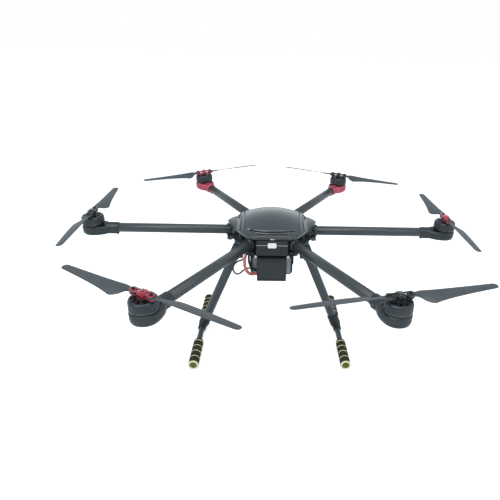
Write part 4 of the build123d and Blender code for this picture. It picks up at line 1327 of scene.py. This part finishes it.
def hub_plate_mesh(name, low, radius):
    cuts = []
    for index in range(6):
        turn = math.tau * (index + 0.5) / 6
        cuts.append(stadium(64 * math.cos(turn), 64 * math.sin(turn), 44, 15, turn))
    return cut_plate(name, [hub_outline(radius), *cuts], low, low + 2, CARBON_PLATE, 0.35)


def post_places():
    for index in range(6):
        for off in (-20, 20):
            turn = math.radians(60 * index + off)
            yield 84 * math.cos(turn), 84 * math.sin(turn)


def post_mesh():
    shape = bmesh.new()
    for x, y in post_places():
        turned(shape, [(1.5, -15), (2.9, -15), (3.2, -14.6), (3.2, -9), (2.7, -8.4), (2.7, 8.4), (3.2, 9),
                       (3.2, 14.6), (2.9, 15), (1.5, 15)], 6, centre=(x, y, 0), closed=True)
    return finish_mesh(shape, "hub_posts", BLACK_METAL)


def post_screw_mesh():
    shape = bmesh.new()
    for x, y in post_places():
        socket_screw(shape, standing(x, y, -17, (0, 0, -1)), 2.8, 1.9, 1.3)
    return finish_mesh(shape, "hub_screws", SILVER_SCREW)


def bracket_mesh():
    """Fixed half of an arm hinge, in the arm's frame: block and two ears."""
    shape = bmesh.new()
    inner, outer = 7.3, 10.0
    boxed(shape, (92, 109.4), (-outer, outer), (-14.9, 14.9))
    profile = [(103.5, -14), (103.5, -21.4), (109.5, -27.2), (HINGE_X, -28.4)]
    profile += [(HINGE_X + 6.4 * math.cos(a), -PIVOT_DROP + 6.4 * math.sin(a))
                for a in (math.radians(step) for step in range(-75, 91, 15))]
    profile += [(109.4, -14.4), (109.4, -12), (103.5, -12)]
    for side in (-1, 1):
        low, high = sorted((side * inner, side * outer))
        rings = [[Vector((x, y, z)) for x, z in profile] for y in (low, high)]
        lofted(shape, rings)
    return finish_mesh(shape, "hinge_bracket", BLACK_METAL)


def bracket_face_mesh():
    """Machined pocket frame on the block's outer face."""
    shape = bmesh.new()
    for side in (-1, 1):
        boxed(shape, (109.0, 109.75), (side * 8.6 - 1.4, side * 8.6 + 1.4), (-9, 13.5))
    boxed(shape, (109.0, 109.75), (-8.6, 8.6), (11.3, 13.5))
    return finish_mesh(shape, "bracket_face", BLACK_METAL)


def hinge_pin_mesh():
    shape = bmesh.new()
    start = len(shape.verts)
    turned(shape, [(0, -11.6), (1.6, -11.6), (1.9, -11.2), (2.95, -11.2), (2.95, 11.2), (1.9, 11.2),
                   (1.6, 11.6), (0, 11.6)], 28)
    for side in (-1, 1):
        turned(shape, [(3.0, side * 10.05), (5.0, side * 10.05), (5.0, side * 10.7), (4.7, side * 11.0),
                       (3.0, side * 11.0)], 28, closed=True)
    across = Matrix.Rotation(math.pi / 2, 4, "X")
    moved(shape, start, Matrix.Translation((HINGE_X, 0, -PIVOT_DROP)) @ across)
    return finish_mesh(shape, "hinge_pin", BLACK_METAL)


def build_hub():
    put("canopy_shell", canopy_mesh(), HUB, "hub", "canopy", slot="canopy_gloss")
    put("rim_gasket", rim_gasket_mesh(), HUB, "hub")
    put("latch_tab", latch_tab_mesh(), HUB, "hub", round_edge=0.5)
    # near-black strips in the canopy's grooves and vents: painted shade
    put("canopy_shade_strips", canopy_shade_strips_mesh(), HUB, "hub")
    button = bmesh.new()
    socket_screw(button, standing(-61, -74, crown_height(-61, -74) - 0.6, (-0.2, -0.35, 1)), 2.6, 1.4, 1.1)
    put("canopy_screw", finish_mesh(button, "canopy_screw", SILVER_SCREW), HUB, "hub")
    put("plate_upper", hub_plate_mesh("plate_upper", 15, HUB_R - 6), HUB, "hub", "top_plate",
        slot="carbon_plate")
    put("hub_posts", post_mesh(), HUB, "hub", "frame_posts", slot="anodised_black")
    put("hub_screws", post_screw_mesh(), HUB, "hub")
    block, face, pin = bracket_mesh(), bracket_face_mesh(), hinge_pin_mesh()
    for index, name in enumerate(ARMS):
        nodes = ["arm_hinge_brackets"] if index == 0 else []
        put(f"hinge_block_{name}", block, ON_ARM[name], "hub", *nodes, slot="anodised_black",
            round_edge=0.6)
        put(f"hinge_face_{name}", face, ON_ARM[name], "hub", round_edge=0.4)
        put(f"hinge_pin_{name}", pin, ON_ARM[name], "hub")


# ---- what hangs under the hub -----------------------------------------------------------------------
def prism(outline, low, high, axis):
    """Rings of an outline carried along X, Y or Z, for lofting."""
    ways = {"X": lambda a, b, c: Vector((c, a, b)), "Y": lambda a, b, c: Vector((a, c, b)),
            "Z": lambda a, b, c: Vector((a, b, c))}
    return [[ways[axis](a, b, c) for a, b in outline] for c in (low, high)]


def bar_mesh(name, outline, low, high, axis, material):
    shape = bmesh.new()
    lofted(shape, prism(outline, low, high, axis))
    return finish_mesh(shape, name, material)


BAY_HALF, BAY_FRONT, BAY_REAR, BAY_LOW, SEAM_Z = 41.0, -113.0, -94.5, -25.0, 3.5


def build_front_bay():
    """Two moulded halves with a bright seam, a lamp window, vents and corner screws."""
    for name, low, high in (("bay_lower", BAY_LOW, SEAM_Z - 0.5), ("bay_upper", SEAM_Z + 0.5, 14.6)):
        outline = rounded(rectangle((-BAY_HALF, BAY_HALF), (BAY_FRONT, BAY_REAR)), 3.5, 6)
        mesh = bar_mesh(name, outline, low, high, "Z", BAY_CASE)
        nodes = ["front_bay"] if name == "bay_lower" else []
        put(name, mesh, HUB, "hub", *nodes, slot="bay_case", round_edge=1.0, steps=3)
    outline = rounded(rectangle((-BAY_HALF + 0.3, BAY_HALF - 0.3), (BAY_FRONT - 0.4, BAY_REAR)), 3.2, 6)
    put("bay_seam", bar_mesh("bay_seam", outline, SEAM_Z - 0.5, SEAM_Z + 0.5, "Z", SEAM), HUB, "hub")
    window = rounded(rectangle((-11, 11), (SEAM_Z - 7, SEAM_Z + 7)), 3.2, 8)
    put("lamp_window", bar_mesh("lamp_window", window, BAY_FRONT - 1.5, BAY_FRONT - 0.1, "Y", LENS), HUB,
        "hub", "status_lens", slot="white_lens", round_edge=0.5, steps=3)
    frame_shape = bmesh.new()
    for x in ((-12.6, -11.4), (11.4, 12.6)):
        boxed(frame_shape, x, (BAY_FRONT - 0.8, BAY_FRONT + 0.5), (SEAM_Z - 8.2, SEAM_Z + 8.2))
    for z in ((SEAM_Z - 8.4, SEAM_Z - 7.3), (SEAM_Z + 7.3, SEAM_Z + 8.4)):
        boxed(frame_shape, (-12.4, 12.4), (BAY_FRONT - 0.8, BAY_FRONT + 0.5), z)
    put("lamp_frame", finish_mesh(frame_shape, "lamp_frame", BAY_CASE), HUB, "hub", round_edge=0.3)
    ribs = bmesh.new()
    for side in (-1, 1):
        for step in range(5):
            x = side * (19 + 3.8 * step)
            boxed(ribs, (x - 0.7, x + 0.7), (BAY_FRONT - 0.5, BAY_FRONT + 0.5), (-19, -5))
    put("bay_ribs", finish_mesh(ribs, "bay_ribs", BAY_CASE), HUB, "hub", round_edge=0.3)
    screws = bmesh.new()
    for x in (-36.5, 36.5):
        for z in (-20.5, 10):
            socket_screw(screws, standing(x, BAY_FRONT + 0.2, z, (0, -1, 0)), 2.0, 0.9, 0.9)
    put("bay_screws", finish_mesh(screws, "bay_screws", SCREW), HUB, "hub")


RAIL_X, RAIL_Z = 42, -34.5


def build_rails():
    tubes, plugs, clamps, bolts = (bmesh.new() for _ in range(4))
    for side in (-1, 1):
        x = side * RAIL_X
        turned(tubes, [(3.0, -99.9), (3.9, -99.9), (4.0, -99.6), (4.0, 103.7), (3.9, 104), (3.0, 104)],
               32, "Y", (x, 0, RAIL_Z), closed=True)
        turned(plugs, [(0, -101.6), (3.2, -101.6), (3.9, -101.0), (3.9, -99.9), (2.9, -99.9),
                       (2.9, -96), (0, -96)],
               32, "Y", (x, 0, RAIL_Z))
        for y in (-22, 75):
            boxed(clamps, (x - 8, x + 8), (y - 5.8, y + 5.8), (-38.4, -17))
            socket_screw(bolts, standing(x + 5.8, y, -38.2, (0, 0, -1)), 1.9, 1.5, 0.9)
            socket_screw(bolts, standing(x - 5.8, y, -38.2, (0, 0, -1)), 1.9, 1.5, 0.9)
    rail = finish_mesh(tubes, "rails", RAIL_CARBON, 50)
    put("rails", rail, HUB, "hub", "payload_rails", slot="carbon_tube")
    put("rail_plugs", finish_mesh(plugs, "rail_plugs", SEAM), HUB, "hub")
    put("rail_clamps", finish_mesh(clamps, "rail_clamps", BAY_CASE), HUB, "hub", round_edge=1.2, steps=3)
    put("rail_clamp_screws", finish_mesh(bolts, "rail_clamp_screws", SCREW), HUB, "hub")


PACK_HALF, PACK_FRONT, PACK_REAR, PACK_TOP, PACK_H = 55.0, -66.0, 64.0, -40.7, 64.0


def pack_outline(inset=0.0):
    middle = PACK_TOP - PACK_H / 2
    half, tall = PACK_HALF - inset, PACK_H / 2 - inset
    return rounded(rectangle((-half, half), (middle - tall, middle + tall)), 8.6 - inset * 0.7, 9)


def build_battery():
    """Wrapped cells: a taut sleeve that sinks a little between the cells, and flat end boards in light
    grey, partly their own colour and partly painted light for a lit end face.
    """
    shape = bmesh.new()
    rings = []
    count = 40
    middle = PACK_TOP - PACK_H / 2
    for step in range(count + 1):
        y = PACK_FRONT + 1.0 + (PACK_REAR - PACK_FRONT - 2.0) * step / count
        ends = 1.2 * (1 - smooth_step(min(step, count - step) / 2.5))
        ring = []
        for x, z in pack_outline(ends):
            side = abs(x) > PACK_HALF - 8
            cell = 0.45 * abs(math.sin(math.pi * (z - middle) / (PACK_H / 6))) if side else 0.0
            ripple = 0.18 * math.sin(0.55 * y + 0.05 * x) * math.sin(0.21 * y + 2)
            pull = 1 - (0.45 - cell + 0.18 + ripple) / PACK_HALF if side else 1 - (0.3 + ripple) / PACK_HALF
            ring.append(Vector((x * pull, y, middle + (z - middle) * (1 - (0.2 + ripple) / PACK_H))))
        rings.append(ring)
    lofted(shape, rings)
    put("battery_sleeve", finish_mesh(shape, "battery_sleeve", PACK_BLACK, 50), HUB, "hub", "battery",
        slot="battery_wrap")
    # light grey end boards: partly painted light, standing for the end face as it looks when lit
    for name, low, high in (("battery_face_front", PACK_FRONT, PACK_FRONT + 1.4),
                            ("battery_face_rear", PACK_REAR - 1.4, PACK_REAR)):
        board = rounded(rectangle((-51, 51), (PACK_TOP - 59, PACK_TOP - 10)), 3.5, 6)
        mesh = bar_mesh(name, board, low, high, "Y", PACK_END_PAINTED_LIGHT)
        put(name, mesh, HUB, "hub", slot="battery_wrap", round_edge=0.5)
    labels = bmesh.new()
    for side in (-1, 1):
        low, high = sorted((side * (PACK_HALF - 0.15), side * (PACK_HALF - 0.55)))
        boxed(labels, (low, high), (-30, 30), (middle - 18, middle + 18))
    put("battery_labels", finish_mesh(labels, "battery_labels", LABEL), HUB, "hub", round_edge=0.1)
    outlet = bmesh.new()
    boxed(outlet, (-28, 6), (PACK_FRONT - 12, PACK_FRONT + 0.5), (-104, -84))
    put("battery_outlet", finish_mesh(outlet, "battery_outlet", CONNECTOR), HUB, "hub", round_edge=1.5,
        steps=3)
    ridges = bmesh.new()
    for step in range(4):
        boxed(ridges, (-24 + 7 * step, -22.4 + 7 * step), (PACK_FRONT - 12.4, PACK_FRONT - 2),
              (-102.5, -85.5))
    put("outlet_ridges", finish_mesh(ridges, "outlet_ridges", CONNECTOR), HUB, "hub", round_edge=0.4)


def strap_ring(offset, count=9):
    """Section of the strap's path round battery, tray and rails, offset outwards."""
    top, bottom = -30.0, PACK_TOP - PACK_H - 0.3
    half = PACK_HALF + 0.35 + offset
    return rounded(rectangle((-half, half), (bottom - offset, top + offset)), 9 + offset, count)


def build_straps():
    """Webbing loops with a thickened double layer and a cam buckle at one side."""
    for name, y in (("strap_front", -59.0), ("strap_rear", 36.0)):
        shape = bmesh.new()
        rings = []
        for across, offset in ((0.0, 0.25), (0.35, 1.5), (1.2, 1.75), (22.8, 1.75), (23.65, 1.5),
                               (24.0, 0.25),
                               (23.0, 0.05), (1.0, 0.05)):
            rings.append([Vector((x, y + across, z)) for x, z in strap_ring(offset)])
        rings.append(rings[0])
        lofted(shape, rings, caps=False)
        nodes = ["battery_straps"] if y < 0 else []
        put(name, finish_mesh(shape, name, WEBBING, 60), HUB, "hub", *nodes, slot="webbing")
        buckle = bmesh.new()
        right = PACK_HALF + 2.1
        boxed(buckle, (right - 0.4, right + 2.2), (y - 2, y + 0.2), (-75, -55))
        boxed(buckle, (right - 0.4, right + 2.2), (y + 23.8, y + 26), (-75, -55))
        for z in (-75, -65.8, -57):
            boxed(buckle, (right - 0.2, right + 2.0), (y - 2, y + 26), (z, z + 2.2))
        put(f"{name}_buckle", finish_mesh(buckle, f"{name}_buckle", BAY_CASE), HUB, "hub", round_edge=0.5)


BOX_HALF, BOX_FRONT, BOX_REAR, BOX_LOW, BOX_TOP = 38.5, -101.0, -81.0, -105.5, -40.3


def build_equipment_box():
    """Radio and power module: sharp case, a raised front frame, blank plate and side sockets."""
    case = bmesh.new()
    boxed(case, (-BOX_HALF, BOX_HALF), (BOX_FRONT + 1.2, BOX_REAR), (BOX_LOW, BOX_TOP))
    boxed(case, (-31, 31), (BOX_REAR - 0.5, BOX_REAR + 8), (BOX_TOP - 3, BOX_TOP))
    put("box_body", finish_mesh(case, "box_body", BOX_CASE), HUB, "hub", "equipment_box", slot="box_case",
        round_edge=1.3, steps=3)
    outer = rounded(rectangle((-BOX_HALF, BOX_HALF), (BOX_LOW, BOX_TOP)), 2.0, 4)
    inner = rounded(rectangle((-BOX_HALF + 3.2, BOX_HALF - 3.2), (BOX_LOW + 3.2, BOX_TOP - 9.5)), 1.6, 4)
    bezel = cut_plate("box_bezel", [outer, inner], 0, 2.2, BOX_CASE, 0.5)
    upright = Matrix.Rotation(math.pi / 2, 4, "X")
    bezel.transform(Matrix.Translation((0, (BOX_FRONT + 2.2) * MM, 0)) @ upright)
    put("box_bezel", bezel, HUB, "hub", slot="box_case")
    panel = cut_plate("box_panel", [inner], 0, 1.0, SHELL_SATIN, 0.2)
    panel.transform(Matrix.Translation((0, (BOX_FRONT + 1.9) * MM, 0)) @ upright)
    put("box_panel", panel, HUB, "hub")
    # a row of near-black vent bars on the front frame: painted shade for the slots
    detail = bmesh.new()
    for step in range(9):
        x = -20 + 5 * step
        boxed(detail, (x - 1.1, x + 1.1), (BOX_FRONT - 0.2, BOX_FRONT + 1.4),
              (BOX_TOP - 7.2, BOX_TOP - 5.4))
    put("box_vents", finish_mesh(detail, "box_vents", VENT_SHADE), HUB, "hub", round_edge=0.25)
    screws = bmesh.new()
    for x in (-34.6, 34.6):
        for z in (BOX_LOW + 2.9, BOX_TOP - 3.2):
            socket_screw(screws, standing(x, BOX_FRONT + 0.5, z, (0, -1, 0)), 1.5, 0.8, 0.7)
    put("box_screws", finish_mesh(screws, "box_screws", SCREW), HUB, "hub")
    # near-black socket blocks on both sides: painted shade for the socket mouths
    sockets = bmesh.new()
    for z in (-58, -72, -86):
        boxed(sockets, (BOX_HALF - 0.3, BOX_HALF + 0.9), (-95, -86), (z - 3.2, z + 3.2))
        boxed(sockets, (-BOX_HALF - 0.9, -BOX_HALF + 0.3), (-95, -86), (z - 3.2, z + 3.2))
    put("box_sockets", finish_mesh(sockets, "box_sockets", VENT_SHADE), HUB, "hub", round_edge=0.3)


def build_retract_units():
    """Gear box, two cheeks with a boss at the pin, and the motor that swings the leg."""
    inner, outer = 16.6, 20.2
    case, rods, screws = bmesh.new(), bmesh.new(), bmesh.new()
    boxed(case, (58, 102), (-outer, outer), (-26.4, -17))
    px, pz = LEG_PIVOT.x, LEG_PIVOT.z
    outline = [(77, -20), (77, -66), (79, -70), (79, -78.4)]
    outline += [(px + 12.4 * math.cos(a), -66 + 12.4 * math.sin(a))
                for a in (math.radians(step) for step in range(270, 361, 15))]
    outline += [(102, -62), (102, -20)]
    for side in (-1, 1):
        low, high = sorted((side * inner, side * outer))
        lofted(case, prism(outline, low, high, "Y"))
        start = len(case.verts)
        turned(case, [(0, 0), (8.2, 0), (8.2, 1.2), (7.4, 1.8), (4.2, 1.8), (4.2, 1.4), (0, 1.4)], 40)
        moved(case, start, standing(px, side * (outer - 0.3), pz, (0, side, 0)))
        for x, z in ((81, -62), (98, -66), (81, -24), (98, -24)):
            socket_screw(screws, standing(x, side * outer, z, (0, side, 0)), 1.8, 1.2, 0.9)
    turned(rods, [(0, -21.6), (3.2, -21.6), (3.9, -21.0), (3.9, 21.0), (3.2, 21.6), (0, 21.6)], 32, "Y",
           (px, 0, pz))
    turned(rods, [(0, -20.4), (8.4, -20.4), (8.8, -20.0), (8.8, 9.0), (8.2, 9.4), (8.2, 10.4), (8.8, 10.8),
                  (8.8, 27.4), (8.2, 28.2), (3.0, 28.2), (3.0, 27.6), (0, 27.6)], 48, "Y", (67.5, 0, -36))
    case, rods = (finish_mesh(case, "retract_case", BLACK_METAL), finish_mesh(rods, "retract_motor", BELL))
    screws = finish_mesh(screws, "retract_screws", SILVER_SCREW)
    for index, side in enumerate(SIDES):
        nodes = ["retract_units"] if index == 0 else []
        put(f"retract_case_{side}", case, ON_SIDE[side], "hub", *nodes, slot="anodised_black",
            round_edge=0.7)
        put(f"retract_motor_{side}", rods, ON_SIDE[side], "hub")
        put(f"retract_screws_{side}", screws, ON_SIDE[side], "hub")


# ---- legs -----------------------------------------------------------------------------------------
def leg_meshes():
    """Drawn along +X from the hinge, so that the carbon weave runs with the tube."""
    tube, socket, joint = bmesh.new(), bmesh.new(), bmesh.new()
    low, high = 14.2, LEG_LENGTH - 15
    turned(tube, [(11.5, low), (12.3, low), (12.5, low + 0.2), (12.5, high - 0.2), (12.3, high),
                  (11.5, high)],
           96, "X", closed=True)
    turned(socket, [(4.1, -15.9), (10.2, -15.9), (10.9, -15.2), (10.9, 15.2), (10.2, 15.9),
                    (4.1, 15.9)], 56,
           "Y", closed=True)
    turned(socket, [(12.6, 14), (12.0, 7.5), (15.2, 6.4), (15.9, 7.4), (15.9, 24), (15.2, 24.8),
                    (15.2, 26.4),
                    (15.9, 27.2), (15.9, 41.8), (14.6, 45.8), (12.6, 45.8)], 64, "X", closed=True)
    end = LEG_LENGTH
    turned(joint, [(12.6, end - 46), (14.4, end - 46), (15.4, end - 44.6), (15.4, end - 36),
                   (14.9, end - 35.3),
                   (14.9, end - 34), (15.4, end - 33.3), (15.4, end - 14), (13.4, end - 7),
                   (9.0, end - 6.4),
                   (0, end - 6.4), (0, end - 14.6), (12.6, end - 14.6)], 64, "X")
    turned(joint, [(8.1, -12.8), (11.2, -12.8), (11.9, -12.0), (11.9, -8.6), (11.3, -7.9), (11.3, -7.1),
                   (11.9, -6.4), (11.9, 6.4), (11.3, 7.1), (11.3, 7.9), (11.9, 8.6), (11.9, 12.0),
                   (11.2, 12.8), (8.1, 12.8)], 56, "Y", (end, 0, 0), closed=True)
    return (finish_mesh(tube, "leg_tube", CARBON_TUBE, 50), finish_mesh(socket, "leg_socket", BAY_CASE, 32),
            finish_mesh(joint, "leg_joint", BAY_CASE, 32))


def leg_screw_mesh():
    shape = bmesh.new()
    for x in (19.0, 35.0):
        for side in (-1, 1):
            socket_screw(shape, standing(x, side * 15.5, 0, (0, side, 0)), 2.2, 1.4, 1.0)
    for x in (LEG_LENGTH - 26, LEG_LENGTH - 41):
        for side in (-1, 1):
            socket_screw(shape, standing(x, side * 15.0, 0, (0, side, 0)), 2.2, 1.4, 1.0)
    return finish_mesh(shape, "leg_screws", SCREW)


def skid_tube_mesh():
    """Along X, with the craft's front towards -X; turned into place when it is put there."""
    shape = bmesh.new()
    low, high = 2.2 - SKID_FRONT, SKID_REAR - 2.2
    turned(shape, [(7.0, low), (7.9, low), (8.0, low + 0.2), (8.0, high - 0.2), (7.9, high), (7.0, high)],
           64, "X", closed=True)
    return finish_mesh(shape, "skid_tube", SKID_CARBON, 50)


FOAM_LENGTH, CAP_T, BAND_STEP = 103.0, 4.0, 23.0


def foam_meshes():
    """One sleeve along +X, its cap ending at x = 0: full between the bands, soft at its inner end."""
    sleeve, bands, rim, cap = (bmesh.new() for _ in range(4))
    outer, inner = -CAP_T, -CAP_T - FOAM_LENGTH
    grooves = [outer + 1.0 - BAND_STEP * step for step in range(1, 5)]
    profile = [(8.05, inner), (10.2, inner + 0.1), (12.0, inner + 1.4), (13.0, inner + 3.6)]
    x = inner + 5.5
    while x < outer - 0.2:
        near = min(abs(x - groove) for groove in grooves)
        radius = 13.95 - 1.6 * bump(near, 2.6) - 0.3 * bump(near - 11.5, 9.0)
        profile.append((radius, x))
        x += 0.8
    profile += [(13.9, outer), (8.05, outer)]
    turned(sleeve, profile, 64, "X", closed=True)
    for groove in grooves:
        ring = [(12.85 + 0.95 * math.cos(a), groove + 1.2 * math.sin(a))
                for a in (math.tau * step / 12 for step in range(12))]
        turned(bands, ring, 64, "X", closed=True)
    turned(rim, [(9.8, outer + 0.1), (13.2, outer + 0.1), (13.9, outer + 0.8), (13.9, outer + 2.2),
                 (13.1, -0.4), (11.6, 0), (10.2, -0.4), (9.6, -1.2)], 72, "X", closed=True)
    turned(cap, [(0, outer + 2.0), (9.7, outer + 2.0), (9.7, -1.4), (8.8, -0.9), (4.4, -0.7), (3.9, -1.0),
                 (3.6, -1.9), (0, -1.9)], 56, "X")
    return (finish_mesh(sleeve, "foam_sleeve", FOAM, 60),
            finish_mesh(bands, "foam_bands", YELLOW_RUBBER, 60),
            finish_mesh(rim, "foam_rim", YELLOW_RUBBER, 60), finish_mesh(cap, "foam_cap", OLIVE_RUBBER))


def build_legs():
    tube, socket, joint = leg_meshes()
    screws, skid = leg_screw_mesh(), skid_tube_mesh()
    foam = foam_meshes()
    for side in SIDES:
        body, place = f"leg_{side}", ALONG_LEG[side]
        put(f"leg_tube_{side}", tube, place, body, f"leg_{side}", slot="carbon_tube")
        put(f"leg_socket_{side}", socket, place, body)
        put(f"leg_joint_{side}", joint, place, body)
        put(f"leg_screws_{side}", screws, place, body)
        foot = at(SKID_AT.x if side == "right" else -SKID_AT.x, 0, SKID_AT.z, math.pi / 2)
        put(f"skid_{side}", skid, foot, body, slot="carbon_tube")
        for end, reach, turn in (("front", -SKID_FRONT, math.pi), ("rear", SKID_REAR, 0.0)):
            tip = foot @ Matrix.Translation((reach * MM, 0, 0)) @ Matrix.Rotation(turn, 4, "Z")
            for label, mesh in zip(("foam", "foam_bands", "foam_rim", "foam_cap"), foam):
                nodes = [f"foam_grips_{side}"] if label == "foam" and end == "front" else []
                slot = "foam" if label == "foam" else None
                put(f"{label}_{end}_{side}", mesh, tip, body, *nodes, slot=slot)


def dress_inner_parts():
    """Electronics between the plates keep their own shapes."""
    finishes = {"flight_controller": DEVICE, "satellite_receiver": DEVICE, "power_board": CIRCUIT,
                "speed_controllers": SHRINK, "battery_tray": CARBON_PLATE, "bottom_plate": CARBON_PLATE}
    for node, material in finishes.items():
        data = frame["nodes"][node].data
        data.materials.clear()
        data.materials.append(material)


build_camera()
build_cords()
build_studio()
build_arms()
build_propellers()
build_hub()
build_front_bay()
build_rails()
build_battery()
build_straps()
build_equipment_box()
build_retract_units()
build_legs()
dress_inner_parts()
